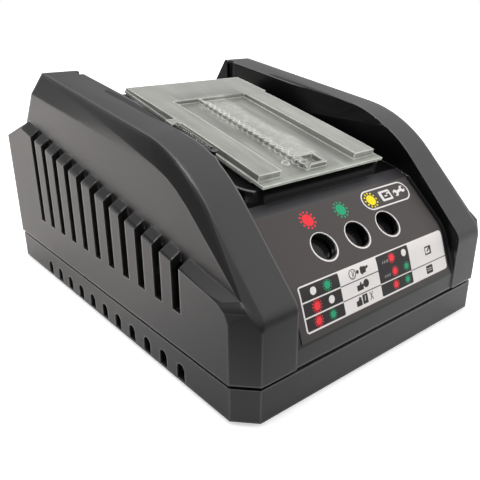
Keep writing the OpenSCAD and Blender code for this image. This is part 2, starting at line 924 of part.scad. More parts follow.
// ---------- terminals ----------

blade_x = 9;
blade_t = 0.8;
blade_s0 = well_s0 + 14;
blade_s1 = blade_s0 + 14;
pin_s0 = blade_s0 + 4;
pin_s1 = pin_s0 + 8;
pin_p = 3;
pin_t = 0.8;
blade_top = -1.2;
block_floor = 2;
block_wall = 2;

module terminal_block() {
    color(dark)
    on_deck()
        difference() {
            union() {
                slab([-well_x + block_gap, well_s0 + block_gap, well_floor - block_floor],
                    [well_x - block_gap, well_s1 - block_gap, -0.6]);
                slab([-flange_x, well_s0 - 2, -5 - flange_t], [flange_x, well_s1 + 2, -5]);
                slab([-well_x, well_s0 + block_gap, -5 - eps], [well_x, well_s1 - block_gap, -wall - 0.1]);
            }
            slab([-well_x + block_wall, well_s0 + block_wall, well_floor],
                [well_x - block_wall, well_s1 - block_wall, 10]);
            for (s = [-1, 1])
                slab([s * blade_x - blade_t / 2, blade_s0, -30], [s * blade_x + blade_t / 2, blade_s1, 0]);
            for (i = [-1:1])
                slab([i * pin_p - pin_t / 2, pin_s0, -30], [i * pin_p + pin_t / 2, pin_s1, 0]);
            for (p = term_points)
                translate([p[0], p[1], -10])
                    cylinder(r = 1.4, h = 8, $fn = small_n);
        }
}

module blade(side) {
    on_deck()
        translate([side * blade_x, 0, 0]) {
            slab([-blade_t / 2, blade_s0, well_floor - 5], [blade_t / 2, blade_s1, blade_top]);
        }
}

module positive_blade() {
    color([0.85, 0.75, 0.45])
        blade(1);
}

module negative_blade() {
    color([0.85, 0.75, 0.45])
        blade(-1);
}

module signal_contacts() {
    color([0.85, 0.75, 0.45])
    on_deck()
        for (i = [-1:1])
            slab([i * pin_p - pin_t / 2, pin_s0, well_floor - 4.5],
                [i * pin_p + pin_t / 2, pin_s1, well_floor + 5]);
}

module terminal_screws() {
    color(steel)
    on_deck()
        for (p = term_points)
            translate([p[0], p[1], 0]) {
                translate([0, 0, -5 - flange_t - 1.4])
                    cylinder(r = 2.2, h = 1.4, $fn = small_n);
                translate([0, 0, -5 - flange_t - eps])
                    cylinder(r = 0.95, h = 5.6, $fn = small_n);
            }
}

// ---------- circuit ----------

module main_board() {
    color(green)
    difference() {
        slab([pcb_x0, -pcb_y, pcb_z], [pcb_x1, pcb_y, pcb_top]);
        for (p = pcb_points)
            translate([p[0], p[1], pcb_z - 1])
                cylinder(r = pcb_clear_r, h = 5, $fn = small_n);
    }
}

module board_screws() {
    color(steel)
    for (p = pcb_points)
        translate([p[0], p[1], 0]) {
            translate([0, 0, pcb_top])
                cylinder(r = 2.6, h = 1.8, $fn = round_n);
            translate([0, 0, pcb_top - 8])
                cylinder(r = pcb_screw_r, h = 8 + eps, $fn = small_n);
        }
}

trafo = [8, 8];
leg_w = 10;
yoke_t = 4.5;
yoke_h = 5;
window_w = trafo_l / 2 - leg_w / 2 - yoke_t;
winding_gap = 0.4;
module transformer_core() {
    color([0.20, 0.20, 0.21])
    translate([trafo[0], trafo[1], pcb_top])
        difference() {
            slab([-trafo_w / 2, -trafo_l / 2, 0], [trafo_w / 2, trafo_l / 2, trafo_h]);
            for (s = [-1, 1])
                translate([0, s * (leg_w + window_w) / 2, 0])
                    slab([-trafo_w, -window_w / 2, yoke_h], [trafo_w, window_w / 2, trafo_h - yoke_h]);
        }
}

module transformer_winding() {
    color([0.85, 0.70, 0.15])
    translate([trafo[0], trafo[1], pcb_top])
        difference() {
            slab([-trafo_w / 2 - 4, -leg_w / 2 - window_w + winding_gap, yoke_h + winding_gap],
                [trafo_w / 2 + 4, leg_w / 2 + window_w - winding_gap, trafo_h - yoke_h - winding_gap]);
            slab([-trafo_w / 2 - 0.2, -leg_w / 2 - 0.2, -big], [trafo_w / 2 + 0.2, leg_w / 2 + 0.2, big]);
        }
}

module filter_capacitor() {
    color([0.10, 0.14, 0.35])
    translate([pcb_x1 - 22, pcb_y - 28, pcb_top])
        difference() {
            cylinder(r = cap_r, h = cap_h, $fn = fine);
            translate([0, 0, cap_h - 0.6])
                cylinder(r = cap_r - 1.6, h = 2, $fn = fine);
        }
}

out_cap_r = 5;
out_cap_h = 20;
out_caps = [[pcb_x0 + 14, 40 - pcb_y], [pcb_x0 + 14, 26 - pcb_y], [pcb_x0 + 28, 33 - pcb_y]];
module output_capacitors() {
    color([0.12, 0.12, 0.14])
    for (p = out_caps)
        translate([p[0], p[1], pcb_top])
            cylinder(r = out_cap_r, h = out_cap_h, $fn = round_n);
}

choke_r = 7.2;
choke_wire_r = 4;
module input_choke() {
    color(copper)
    translate([10, pcb_y - 18, pcb_top + choke_r + choke_wire_r])
        rotate([90, 0, 0])
            rotate_extrude($fn = fine)
                translate([choke_r, 0, 0])
                    circle(r = choke_wire_r, $fn = round_n);
}

fuse_r = 2.5;
fuse_cap_r = 3.2;
fuse_cap_l = 5;
fuse_l = 22;
module input_fuse() {
    color([0.85, 0.86, 0.88])
    translate([pcb_x0 + 22, pcb_y - 8, pcb_top + fuse_cap_r])
        rotate([0, 90, 0]) {
            cylinder(r = fuse_r, h = fuse_l - 2, center = true, $fn = round_n);
            for (s = [-1, 1])
                translate([0, 0, s * (fuse_l - fuse_cap_l) / 2])
                    cylinder(r = fuse_cap_r, h = fuse_cap_l, center = true, $fn = round_n);
        }
}

fin_n = 7;
fin_t = 1.6;
fin_l = 8;
sink_h = 34;
sink_t = 3;
module heatsink(w) {
    slab([-sink_t / 2, -w / 2, 0], [sink_t / 2, w / 2, sink_h]);
    for (i = [0:fin_n - 1])
        translate([0, -w / 2 + fin_t / 2 + i * (w - fin_t) / (fin_n - 1), 0])
            slab([sink_t / 2 - 0.1, -fin_t / 2, 3], [fin_l, fin_t / 2, sink_h]);
}

sink_l = 52;
sink2_l = 34;
sink_x = pcb_x1 - 14;
sink_y = -4;
sink2_x = 14;
sink2_y = 24 - pcb_y;
module primary_heatsink() {
    color(alu)
    translate([sink_x, sink_y, pcb_top])
        heatsink(sink_l);
}

module secondary_heatsink() {
    color(alu)
    translate([sink2_x, sink2_y, pcb_top])
        heatsink(sink2_l);
}

tr_y = [-14, 10];
tr_size = [4.6, 10, 16];
tr_z = 6;
module transistor() {
    slab([-tr_size[0], -tr_size[1] / 2, tr_z], [0, tr_size[1] / 2, tr_z + tr_size[2]]);
}

module power_transistors() {
    color(dark) {
        for (y = tr_y)
            translate([sink_x - sink_t / 2, sink_y + y, pcb_top])
                transistor();
        translate([sink2_x - sink_t / 2, sink2_y, pcb_top])
            transistor();
    }
}

chip_w = 12;
chip_h = 1.6;
module control_chip() {
    color(dark)
    translate([pcb_x1 - 20, 16 - pcb_y, pcb_top])
        slab([-chip_w / 2, -chip_w / 2, 0], [chip_w / 2, chip_w / 2, chip_h]);
}

buzzer_r = 7;
buzzer_h = 8;
module buzzer() {
    color(dark)
    translate([pcb_x0 + 14, 60 - pcb_y, pcb_top])
        difference() {
            cylinder(r = buzzer_r, h = buzzer_h, $fn = fine);
            translate([0, 0, buzzer_h - 2])
                cylinder(r = 1.2, h = 4, $fn = small_n);
        }
}

block_w = 20;
block_d = 9;
block_h = 11;
module mains_terminal() {
    color([0.10, 0.35, 0.20])
    translate([gland_x + 2, pcb_y - 7, pcb_top])
        difference() {
            slab([-block_w / 2, -block_d / 2, 0], [block_w / 2, block_d / 2, block_h]);
            for (s = [-1, 1])
                translate([s * block_w / 4, block_d / 2 + 1, block_h / 2])
                    rotate([90, 0, 0])
                        cylinder(r = 2, h = 6, $fn = small_n);
        }
}

// leads run up from the board to the blades
lead_r = 1.2;
lead_y = -12.6;
lead_top = z_deck + deck_k * lead_y + (well_floor - block_floor - 0.6) / cos(deck_a);
module output_leads() {
    color([0.65, 0.08, 0.06])
    for (s = [-1, 1])
        translate([s * (blade_x + blade_t / 2 + lead_r + 0.05), lead_y, pcb_top])
            cylinder(r = lead_r, h = lead_top - pcb_top, $fn = small_n);
}

ribbon_x = 4;
ribbon_t = 0.8;
ribbon_y = led_y + led_board_h * cos(panel_a) - led_board_z * sin(panel_a) + 0.1;
module led_lead() {
    color([0.75, 0.75, 0.75])
    union() {
        slab([-ribbon_x, ribbon_y, pcb_top],
            [ribbon_x, ribbon_y + ribbon_t, led_z + led_board_h * sin(panel_a)]);
        slab([-ribbon_x, ribbon_y, pcb_top],
            [ribbon_x, max(ribbon_y + 4, -pcb_y + 3), pcb_top + ribbon_t]);
    }
}

// ---------- fan ----------

module along_fan() {
    translate([fan_x, fan_y, fan_z])
        rotate([0, 90, 0])
            children();
}

strut_n = 4;
fan_hole_in = 4;
module fan_frame() {
    color(dark)
    along_fan()
        difference() {
            union() {
                difference() {
                    slab([-fan_size / 2, -fan_size / 2, -fan_t / 2],
                        [fan_size / 2, fan_size / 2, fan_t / 2]);
                    cylinder(r = fan_bore, h = fan_t + 2, center = true, $fn = fine);
                }
                for (i = [0:strut_n - 1])
                    rotate([0, 0, 45 + i * 90])
                        slab([3, -1.4, -fan_t / 2], [fan_bore + 1, 1.4, -fan_t / 2 + 2]);
                translate([0, 0, -fan_t / 2])
                    cylinder(r = fan_hub_r, h = 2, $fn = fine);
            }
            cylinder(r = fan_bush_r, h = fan_t + 2, center = true, $fn = small_n);
            for (x = [-1, 1], y = [-1, 1])
                translate([x * (fan_size / 2 - fan_hole_in), y * (fan_size / 2 - fan_hole_in), 0])
                    cylinder(r = 2, h = fan_t + 2, center = true, $fn = small_n);
        }
}

module fan_bearing() {
    color([0.80, 0.65, 0.30])
    along_fan()
        difference() {
            translate([0, 0, -fan_t / 2 + 0.2])
                cylinder(r = fan_bush_r, h = 7, $fn = small_n);
            translate([0, 0, -fan_t])
                cylinder(r = fan_shaft_r + 0.05, h = 2 * fan_t, $fn = small_n);
        }
}

blade_pitch = 32;
module fan_rotor() {
    color([0.12, 0.12, 0.13])
    along_fan() {
        difference() {
            translate([0, 0, -fan_t / 2 + 2.5])
                cylinder(r = fan_hub_r, h = fan_t - 3.2, $fn = fine);
            translate([0, 0, -fan_t / 2 + 2])
                cylinder(r = fan_hub_r - 1.2, h = fan_t - 4.2, $fn = fine);
        }
        translate([0, 0, -fan_t / 2 + 1])
            cylinder(r = fan_shaft_r, h = fan_t - 2.5, $fn = small_n);
        for (i = [0:fan_blades - 1])
            rotate([0, 0, i * 360 / fan_blades])
                translate([fan_hub_r - 0.6, 0, 0.9])
                    rotate([blade_pitch, 0, 0])
                        slab([0, -7, -0.5], [fan_tip - fan_hub_r - 0.3, 7, 0.5]);
    }
}

fan_lead_y = fan_y1 - 14;
fan_lead_w = 2.4;
module fan_lead() {
    color([0.60, 0.10, 0.10])
    union() {
        slab([fan_x1 + 0.1, fan_lead_y, pcb_top], [fan_x1 + 1.1, fan_lead_y + fan_lead_w, fan_lo + 3]);
        slab([fan_x1 + 0.1, fan_lead_y, pcb_top], [pcb_x0 + 3, fan_lead_y + fan_lead_w, pcb_top + 1]);
    }
}

// ---------- cord entry ----------

neck = gland_hole - 0.05;
flange_out = 1.2;
module cord_gland() {
    color(dark)
    translate([gland_x, half_l, gland_z])
        difference() {
            union() {
                slab([-neck, -gland_in - gland_len, -neck], [neck, -gland_in, neck]);
                slab([-neck - flange_out, -wall - 2.55, -neck - flange_out],
                    [neck + flange_out, -wall - 0.05, neck + flange_out]);
            }
            rotate([90, 0, 0])
                translate([0, 0, -5])
                    cylinder(r = cord_r, h = gland_len + 10, $fn = round_n);
        }
}

clamp_gap = 0.9;
clamp_top = clamp_h + 6.5;
module cord_clamp() {
    color(black)
    difference() {
        slab([gland_x - clamp_x, clamp_y - clamp_d, clamp_h + clamp_gap],
            [gland_x + clamp_x, clamp_y + clamp_d, clamp_top]);
        translate([gland_x, clamp_y, gland_z])
            rotate([90, 0, 0])
                cylinder(r = cord_r, h = 2 * clamp_d + 4, center = true, $fn = round_n);
        for (s = [-1, 1])
            translate([gland_x + s * clamp_screw_x, clamp_y, clamp_h])
                cylinder(r = 1.2, h = 20, $fn = small_n);
    }
}

module clamp_screws() {
    color(steel)
    for (s = [-1, 1])
        translate([gland_x + s * clamp_screw_x, clamp_y, 0]) {
            translate([0, 0, clamp_top])
                cylinder(r = 2.4, h = 1.6, $fn = round_n);
            translate([0, 0, clamp_h - 8])
                cylinder(r = 0.95, h = clamp_top - clamp_h + 8 + eps, $fn = small_n);
        }
}

base_shell();
top_shell();
indicator_label();
led_lenses();
led_board();
indicator_leds();
led_board_screws();
terminal_cover();
guide_rails();
cover_spring();
terminal_block();
positive_blade();
negative_blade();
signal_contacts();
terminal_screws();
main_board();
board_screws();
transformer_core();
transformer_winding();
filter_capacitor();
output_capacitors();
input_choke();
input_fuse();
primary_heatsink();
secondary_heatsink();
power_transistors();
control_chip();
buzzer();
mains_terminal();
output_leads();
led_lead();
fan_frame();
fan_bearing();
fan_rotor();
fan_lead();
cord_gland();
cord_clamp();
clamp_screws();
rubber_feet();
case_screws();
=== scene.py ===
import json
import math

import bmesh
import bpy
import numpy as np
from bpy.props import FloatProperty, FloatVectorProperty, IntProperty, PointerProperty
from mathutils import Matrix, Vector

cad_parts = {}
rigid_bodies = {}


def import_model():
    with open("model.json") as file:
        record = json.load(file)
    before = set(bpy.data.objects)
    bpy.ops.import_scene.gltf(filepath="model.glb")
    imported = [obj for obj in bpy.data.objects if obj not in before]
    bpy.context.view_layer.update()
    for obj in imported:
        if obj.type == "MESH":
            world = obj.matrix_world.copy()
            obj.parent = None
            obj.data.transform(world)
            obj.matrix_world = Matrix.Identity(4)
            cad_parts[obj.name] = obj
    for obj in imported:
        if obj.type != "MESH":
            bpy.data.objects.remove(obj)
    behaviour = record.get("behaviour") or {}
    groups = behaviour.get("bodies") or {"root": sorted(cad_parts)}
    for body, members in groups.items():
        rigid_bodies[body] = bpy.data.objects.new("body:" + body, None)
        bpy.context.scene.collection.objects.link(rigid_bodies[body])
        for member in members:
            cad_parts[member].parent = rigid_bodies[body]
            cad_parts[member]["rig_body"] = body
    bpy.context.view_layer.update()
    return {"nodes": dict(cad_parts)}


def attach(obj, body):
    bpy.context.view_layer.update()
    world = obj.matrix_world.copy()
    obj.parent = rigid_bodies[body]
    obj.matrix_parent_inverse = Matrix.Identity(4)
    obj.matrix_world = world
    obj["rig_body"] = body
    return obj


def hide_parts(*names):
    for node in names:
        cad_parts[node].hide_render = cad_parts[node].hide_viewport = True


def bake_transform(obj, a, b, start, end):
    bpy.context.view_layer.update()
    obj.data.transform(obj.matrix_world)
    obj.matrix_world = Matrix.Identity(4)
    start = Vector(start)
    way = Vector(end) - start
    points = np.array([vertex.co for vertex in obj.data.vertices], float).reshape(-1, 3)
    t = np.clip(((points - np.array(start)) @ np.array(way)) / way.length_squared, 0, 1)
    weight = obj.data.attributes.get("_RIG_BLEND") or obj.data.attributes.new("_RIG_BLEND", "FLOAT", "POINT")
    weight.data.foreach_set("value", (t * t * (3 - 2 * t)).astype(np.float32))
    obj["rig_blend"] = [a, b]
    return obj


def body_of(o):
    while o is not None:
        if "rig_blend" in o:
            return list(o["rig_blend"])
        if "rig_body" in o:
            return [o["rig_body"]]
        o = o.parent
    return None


bl_info = {
    "name": "Tool Battery Charger",
    "version": (1, 0, 0),
    "blender": (4, 5, 0),
    "location": "3D View > Sidebar > Charger",
    "description": "Finishes the case, dock, sprung cover, label and inside of a tool battery charger",
    "category": "Object",
}

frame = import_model()
NODES = frame["nodes"]
MM = 0.001

# The dock is a plane that climbs to the back: one part up in four along.
DOCK_RISE = 0.25
DOCK_HEIGHT = 80.1
DOCK_COS = 1 / math.sqrt(1 + DOCK_RISE ** 2)
DOCK_SIN = DOCK_RISE * DOCK_COS


def dock_point(x, along, above):
    """A place in the dock's own frame, in millimetres, as a place in the charger's frame, in metres.

    y = along cos a - above sin a, and z = dock height + along sin a + above cos a."""
    x, along, above = np.broadcast_arrays(x, along, above)
    y = along * DOCK_COS - above * DOCK_SIN
    z = DOCK_HEIGHT + along * DOCK_SIN + above * DOCK_COS
    return np.stack([x, y, z], -1) * MM


# ---------- shader arithmetic ----------

# The Mix node's first input, second input and output for each kind of data.
MIX_SOCKETS = {"VECTOR": (4, 5, 1), "RGBA": (6, 7, 2)}
MM_PER_METRE = 1000.0


class Wire:
    """A shader socket that takes part in Python sums. Each operator adds one Math node."""

    def __init__(self, graph, socket):
        self.graph = graph
        self.socket = socket

    def _math(self, operation, *values):
        return self.graph.node("ShaderNodeMath", {"operation": operation}, dict(enumerate(values)))

    def __add__(self, other):
        return self._math("ADD", self, other)

    __radd__ = __add__

    def __sub__(self, other):
        return self._math("SUBTRACT", self, other)

    def __rsub__(self, other):
        return self._math("SUBTRACT", other, self)

    def __mul__(self, other):
        return self._math("MULTIPLY", self, other)

    __rmul__ = __mul__

    def __truediv__(self, other):
        return self._math("DIVIDE", self, other)

    def __rtruediv__(self, other):
        return self._math("DIVIDE", other, self)

    def __pow__(self, power):
        return self._math("POWER", self, power)

    def __abs__(self):
        return self._math("ABSOLUTE", self)

    def __gt__(self, other):
        return self._math("GREATER_THAN", self, other)

    def __lt__(self, other):
        return self._math("LESS_THAN", self, other)

    def smaller(self, other):
        return self._math("MINIMUM", self, other)

    def larger(self, other):
        return self._math("MAXIMUM", self, other)

    def cosine(self):
        return self._math("COSINE", self)


class Graph:
    """A node tree with short ways to add and link its nodes."""

    def __init__(self, tree):
        self.tree = tree
        tree.nodes.clear()

    def node(self, kind, settings=None, inputs=None, output=0):
        """Adds a node of any type: its settings first, then the values or links of its sockets."""
        made = self.tree.nodes.new(kind)
        for key, value in (settings or {}).items():
            setattr(made, key, value)
        for key, value in (inputs or {}).items():
            self.join(made.inputs[key], value)
        return Wire(self, made.outputs[output]) if made.outputs else None

    def join(self, socket, value):
        """Sets a socket to a value, or links it."""
        if isinstance(value, Wire):
            self.tree.links.new(value.socket, socket)
        else:
            socket.default_value = value

    def axes(self, vector, scale=MM_PER_METRE):
        """The three parts of a vector times the scale, which by itself turns metres into millimetres."""
        made = self.tree.nodes.new("ShaderNodeSeparateXYZ")
        self.join(made.inputs[0], vector)
        return [Wire(self, made.outputs[i]) * scale for i in range(3)]

    def span(self, value, low, high, out_low=0.0, out_high=1.0):
        """Carries value from low..high to out_low..out_high, and holds it at the ends."""
        return self.node("ShaderNodeMapRange", inputs={"Value": value, "From Min": low, "From Max": high,
                                                       "To Min": out_low, "To Max": out_high})

    def mix(self, first, second, factor, kind="RGBA"):
        """First where factor is 0 and second where it is 1; kind is RGBA for colours and VECTOR for vectors."""
        start, end, result = MIX_SOCKETS[kind]
        return self.node("ShaderNodeMix", {"data_type": kind},
                         {"Factor": factor, start: first, end: second}, output=result)

    def ray(self, kind):
        """1 for rays of a kind, such as Is Camera Ray, and 0 for the rest."""
        return self.node("ShaderNodeLightPath", output=kind)


class Recipe(Graph):
    """A material made of one Principled shader and the nodes that feed it."""

    def __init__(self, name, **constants):
        self.material = bpy.data.materials.new(name)
        self.material.use_nodes = True
        super().__init__(self.material.node_tree)
        self.shader = self.tree.nodes.new("ShaderNodeBsdfPrincipled")
        output = self.tree.nodes.new("ShaderNodeOutputMaterial")
        self.surface = output.inputs["Surface"]
        self.tree.links.new(self.shader.outputs[0], self.surface)
        for socket, value in constants.items():
            self.feed(socket.replace("_", " "), value)

    def feed(self, socket, value):
        """Sets a socket of the shader, or links it."""
        self.join(self.shader.inputs[socket], value)

    def overlay(self, factor, **constants):
        """Shows a second Principled shader in place of the first where factor is 1, with the same Normal."""
        over = self.tree.nodes.new("ShaderNodeBsdfPrincipled")
        for socket, value in constants.items():
            self.join(over.inputs[socket.replace("_", " ")], value)
        normal = self.shader.inputs["Normal"]
        if normal.links:
            self.tree.links.new(normal.links[0].from_socket, over.inputs["Normal"])
        both = self.node("ShaderNodeMixShader", inputs={0: factor, 1: Wire(self, self.shader.outputs[0]),
                                                        2: Wire(self, over.outputs[0])})
        self.join(self.surface, both)

    def place(self):
        """Object coordinates as a vector, in metres."""
        return self.node("ShaderNodeTexCoord", output="Object")

    def stretched(self, scale):
        """Object coordinates times a scale for each axis."""
        return self.node("ShaderNodeMapping", inputs={"Vector": self.place(), "Scale": scale})

    def noise(self, scale, detail=2.0, roughness=0.5, vector=None):
        """Fractal noise in 0 to 1; scale is in cells per metre."""
        return self.node("ShaderNodeTexNoise", inputs={"Vector": vector or self.place(), "Scale": scale,
                                                       "Detail": detail, "Roughness": roughness})

    def normal(self):
        """The surface's own normal."""
        return self.node("ShaderNodeNewGeometry", output="Normal")

    def rounded(self, radius):
        """The normal over edges rounded to a radius in metres."""
        return self.node("ShaderNodeBevel", {"samples": 8}, {"Radius": radius})

    def rims(self, rounded, low, high):
        """1 along edges and 0 on flat faces: how far the rounded normal leans from the surface's own.

        A lean is 1 - cos of the angle between the two. Low gives 0 and high gives 1."""
        lean = self.node("ShaderNodeVectorMath", {"operation": "DOT_PRODUCT"},
                         {0: rounded, 1: self.normal()}, output="Value")
        return self.span(1.0 - abs(lean), low, high)

    def relief(self, height, distance, strength, edge):
        """Feeds the Normal with a bump of the height, over a rounded normal or edges of a radius in metres."""
        rounded = edge if isinstance(edge, Wire) else self.rounded(edge)
        self.feed("Normal", self.node("ShaderNodeBump", inputs={"Height": height, "Distance": distance,
                                                                "Strength": strength, "Normal": rounded}))


BLACK = (0, 0, 0, 1)
WHITE = (1, 1, 1, 1)


def ink(red, green, blue):
    """A colour from 0 to 255 sRGB steps as the linear colour that a shader takes."""
    steps = np.array([red, green, blue]) / 255
    linear = np.where(steps <= 0.04045, steps / 12.92, ((steps + 0.055) / 1.055) ** 2.4)
    return (*linear.tolist(), 1.0)


def shade(colour, amount):
    """A colour made darker or lighter by an amount."""
    return (*[min(1.0, c * amount) for c in colour[:3]], 1.0)


# ---------- finishes ----------

# Cells per metre of the moulded spark texture.
SPARK_CELLS = 2600.0


def moulded_plastic(name, colour, roughness, grain=0.00004, edge=0.0006, cells=SPARK_CELLS):
    """Moulded plastic: a fine spark texture, slow clouding of the gloss and softly rounded edges.

    Grain is the texture's depth and edge the radius of the edges, both in metres."""
    recipe = Recipe(name, IOR=1.5)
    cloud = recipe.noise(18.0, 3.0)
    fine = recipe.noise(cells, 2.0, 0.6)
    recipe.feed("Base Color", recipe.mix(shade(colour, 0.9), shade(colour, 1.1), cloud))
    recipe.feed("Roughness", recipe.span(cloud + fine * 0.3, 0.3, 1.0, roughness - 0.03, roughness + 0.05))
    recipe.relief(fine, grain, 0.5, edge)
    return recipe.material


# The dock's half width between the towers, the height over its plane that still counts as dock, and where its
# front face stands, in millimetres.
BAY_HALF = 45.3
BAY_LIP = 2.5
BAY_FRONT = -61.9


def case_plastic(colour, edge, ridge_edge):
    """The case: black satin plastic with a fine spark texture, glossy along its edges, and with painted shade
    that makes it blacker in the dock.

    The dock is what lies between the towers and below the lip over the dock plane, where
    h = z - dock height - y / 4, and the towers' walls that face each other. The towers' outer ridges are rounder
    than the other edges, painted shade makes the band below their front part blacker, painted light makes the
    ledge before the dock greyer, and painted highlights make the edges round the dock lighter. Edge and
    ridge_edge are radii in metres."""
    recipe = Recipe("case_plastic", IOR=1.95, Coat_Roughness=0.13, Coat_IOR=2.0)
    x, y, z = recipe.axes(recipe.place())
    over = z - DOCK_HEIGHT - y * DOCK_RISE
    turned, _, raised = recipe.axes(recipe.normal(), 1.0)
    side = abs(x)
    outward = turned * x / side
    # painted shade: the dock's floor and walls, down to the foot of the towers, and the band below the ridges
    low = (side < BAY_HALF) * (over < BAY_LIP)
    wall = (side < BAY_HALF + 2.5) * (outward < -0.12)
    band = (outward > 0.5) * recipe.span(raised, 0.35, 0.5) * recipe.span(y, -40.0, -10.0, 1.0, 0.0)
    dock = (low * (y > BAY_FRONT)).larger(wall) * recipe.span(over, -27.0, -24.0)
    # painted shade: the overlay below shows these places darker, with weaker reflections
    dark = dock.larger(band * 0.6)
    # painted light: the ledge before the dock, which lies in shade, is painted greyer
    ledge = low * (y < BAY_FRONT) * (raised > 0.85)
    # rounder edges along the towers' outer ridges
    ridge = recipe.span(side, 55.5, 57.5) * recipe.span(side, 62.5, 63.5, 1.0, 0.0) * recipe.span(z, 48.0, 54.0)
    rounded = recipe.mix(recipe.rounded(edge), recipe.rounded(ridge_edge), ridge, "VECTOR")
    rims = recipe.rims(rounded, 0.004, 0.05)
    cloud = recipe.noise(14.0, 3.0)
    fine = recipe.noise(SPARK_CELLS, 2.0, 0.6)
    tone = recipe.mix(shade(colour, 0.85), shade(colour, 1.15), cloud)
    # painted light on the ledge
    tone = recipe.mix(tone, ink(52, 50, 53), ledge)
    # painted highlight along the towers' inner top edges round the dock
    inner_edge_highlight = rims * (side > 41.0) * (side < 50.0) * (over > 3.0)
    tone = recipe.mix(tone, ink(120, 118, 120), inner_edge_highlight * 0.4)
    recipe.feed("Base Color", tone)
    recipe.feed("Roughness", recipe.span(cloud + fine * 0.3, 0.3, 1.0, 0.32, 0.4))
    recipe.feed("Coat Weight", rims)
    recipe.relief(fine, 0.00003, 0.4, rounded)
    # painted highlight: the rim of the dock's plate is painted near white inside the dock's painted shade
    rim_highlight = rims * (abs(over + 0.4) < 1.0) * (side < 40.0)
    recipe.overlay(dark, Base_Color=recipe.mix(shade(colour, 0.4), ink(170, 172, 174), rim_highlight * 0.8),
                   Roughness=0.36, IOR=1.32)
    return recipe.material


def bare_metal(name, colour, roughness, streak=(900.0, 900.0, 60.0)):
    """Drawn or plated metal: thin streaks in the gloss and a clouded tone. Streak is in cells per metre along
    each axis."""
    recipe = Recipe(name, Metallic=1.0)
    lines = recipe.noise(1.0, 3.0, 0.6, recipe.stretched(streak))
    cloud = recipe.noise(60.0, 2.0)
    recipe.feed("Base Color", recipe.mix(shade(colour, 0.86), colour, cloud))
    recipe.feed("Roughness", recipe.span(lines, 0.3, 0.7, roughness - 0.07, roughness + 0.09))
    recipe.relief(lines, 0.00001, 0.4, 0.0002)
    return recipe.material


def rubber(name, colour):
    """Soft rubber: matt, with a dusty bloom."""
    recipe = Recipe(name)
    bloom = recipe.noise(240.0, 4.0, 0.6)
    recipe.feed("Base Color", recipe.mix(colour, shade(colour, 1.7), recipe.span(bloom, 0.45, 0.8)))
    recipe.feed("Roughness", recipe.span(bloom, 0.2, 0.8, 0.72, 0.86))
    recipe.relief(bloom, 0.00005, 0.4, 0.0003)
    return recipe.material


def tinted(name, dark, light, cells, **constants):
    """A plain finish whose colour clouds between two tones."""
    recipe = Recipe(name, **constants)
    recipe.feed("Base Color", recipe.mix(dark, light, recipe.noise(cells)))
    return recipe.material


def paint(nodes, material):
    """Gives CAD nodes with plain faces a material in their own slots."""
    for name in nodes:
        for slot in NODES[name].material_slots:
            slot.material = material


# Corners closer than the first, in metres, become one, and triangles that turn by less than the second, in
# degrees, become one face.
WELD_WITHIN = 0.000004
FLAT_WITHIN = 0.6


def finish(nodes, material, angle=26.0):
    """Gives CAD nodes one material on smooth-shaded copies.

    Each copy's corners are welded and its coplanar triangles joined. An edge stays sharp where its faces turn by
    more than the angle in degrees, and the large faces set the normals of the rest, so flat walls stay flat."""
    for name in nodes:
        mesh = NODES[name].data.copy()
        mesh.name = name + "_finished"
        work = bmesh.new()
        work.from_mesh(mesh)
        bmesh.ops.remove_doubles(work, verts=work.verts, dist=WELD_WITHIN)
        bmesh.ops.dissolve_limit(work, angle_limit=math.radians(FLAT_WITHIN),
                                verts=work.verts, edges=work.edges)
        work.to_mesh(mesh)
        work.free()
        mesh.shade_smooth()
        mesh.set_sharp_from_angle(angle=math.radians(angle))
        mesh.materials.clear()
        mesh.materials.append(material)
        mesh.polygons.foreach_set("material_index", np.zeros(len(mesh.polygons), np.int32))
        piece = bpy.data.objects.new(name + "_finished", mesh)
        bpy.context.scene.collection.objects.link(piece)
        weights = piece.modifiers.new("face_weights", "WEIGHTED_NORMAL")
        weights.keep_sharp = True
        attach(piece, body_of(NODES[name])[0])
        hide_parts(name)


# ---------- sizes and colours ----------


class ChargerSizes(bpy.types.PropertyGroup):
    """Sizes that the visible pieces are made from."""

    case_edge: FloatProperty(name="Case edge", description="Radius of the case's rounded edges",
                             default=0.0012, min=0.0001, max=0.002, unit="LENGTH", precision=5)
    ridge: FloatProperty(name="Tower ridge", description="Radius of the towers' outer ridges",
                         default=0.003, min=0.0005, max=0.005, unit="LENGTH", precision=5)
    wire: FloatProperty(name="Spring wire", description="Radius of the spring wire",
                        default=0.0003, min=0.00015, max=0.0004, unit="LENGTH", precision=5)
    coil: FloatProperty(name="Spring coil", description="Radius of the spring's coils",
                        default=0.00155, min=0.001, max=0.0016, unit="LENGTH", precision=5)
    turns: IntProperty(name="Spring turns", description="Turns of the spring", default=21, min=8, max=30)


class ChargerColours(bpy.types.PropertyGroup):
    """Colours of the case, cover and print."""

    case: FloatVectorProperty(name="Case", description="Moulded case", subtype="COLOR", size=4,
                              default=ink(25, 24, 26), min=0, max=1)
    label: FloatVectorProperty(name="Label", description="Printed film under the windows", subtype="COLOR",
                               size=4, default=ink(70, 66, 65), min=0, max=1)
    cover: FloatVectorProperty(name="Cover", description="Translucent terminal cover", subtype="COLOR",
                               size=4, default=ink(208, 208, 201), min=0, max=1)
    white: FloatVectorProperty(name="White ink", description="White of the print", subtype="COLOR", size=4,
                               default=ink(228, 223, 221), min=0, max=1)
    red: FloatVectorProperty(name="Red ink", description="Red of the print", subtype="COLOR", size=4,
                             default=ink(245, 48, 62), min=0, max=1)
    green: FloatVectorProperty(name="Green ink", description="Green of the print", subtype="COLOR", size=4,
                               default=ink(26, 160, 112), min=0, max=1)
    yellow: FloatVectorProperty(name="Yellow ink", description="Yellow of the print", subtype="COLOR",
                                size=4, default=ink(250, 225, 20), min=0, max=1)


# ---------- the printed label ----------

# Width of the print's soft edge, in millimetres.
PRINT_BLUR = 0.16


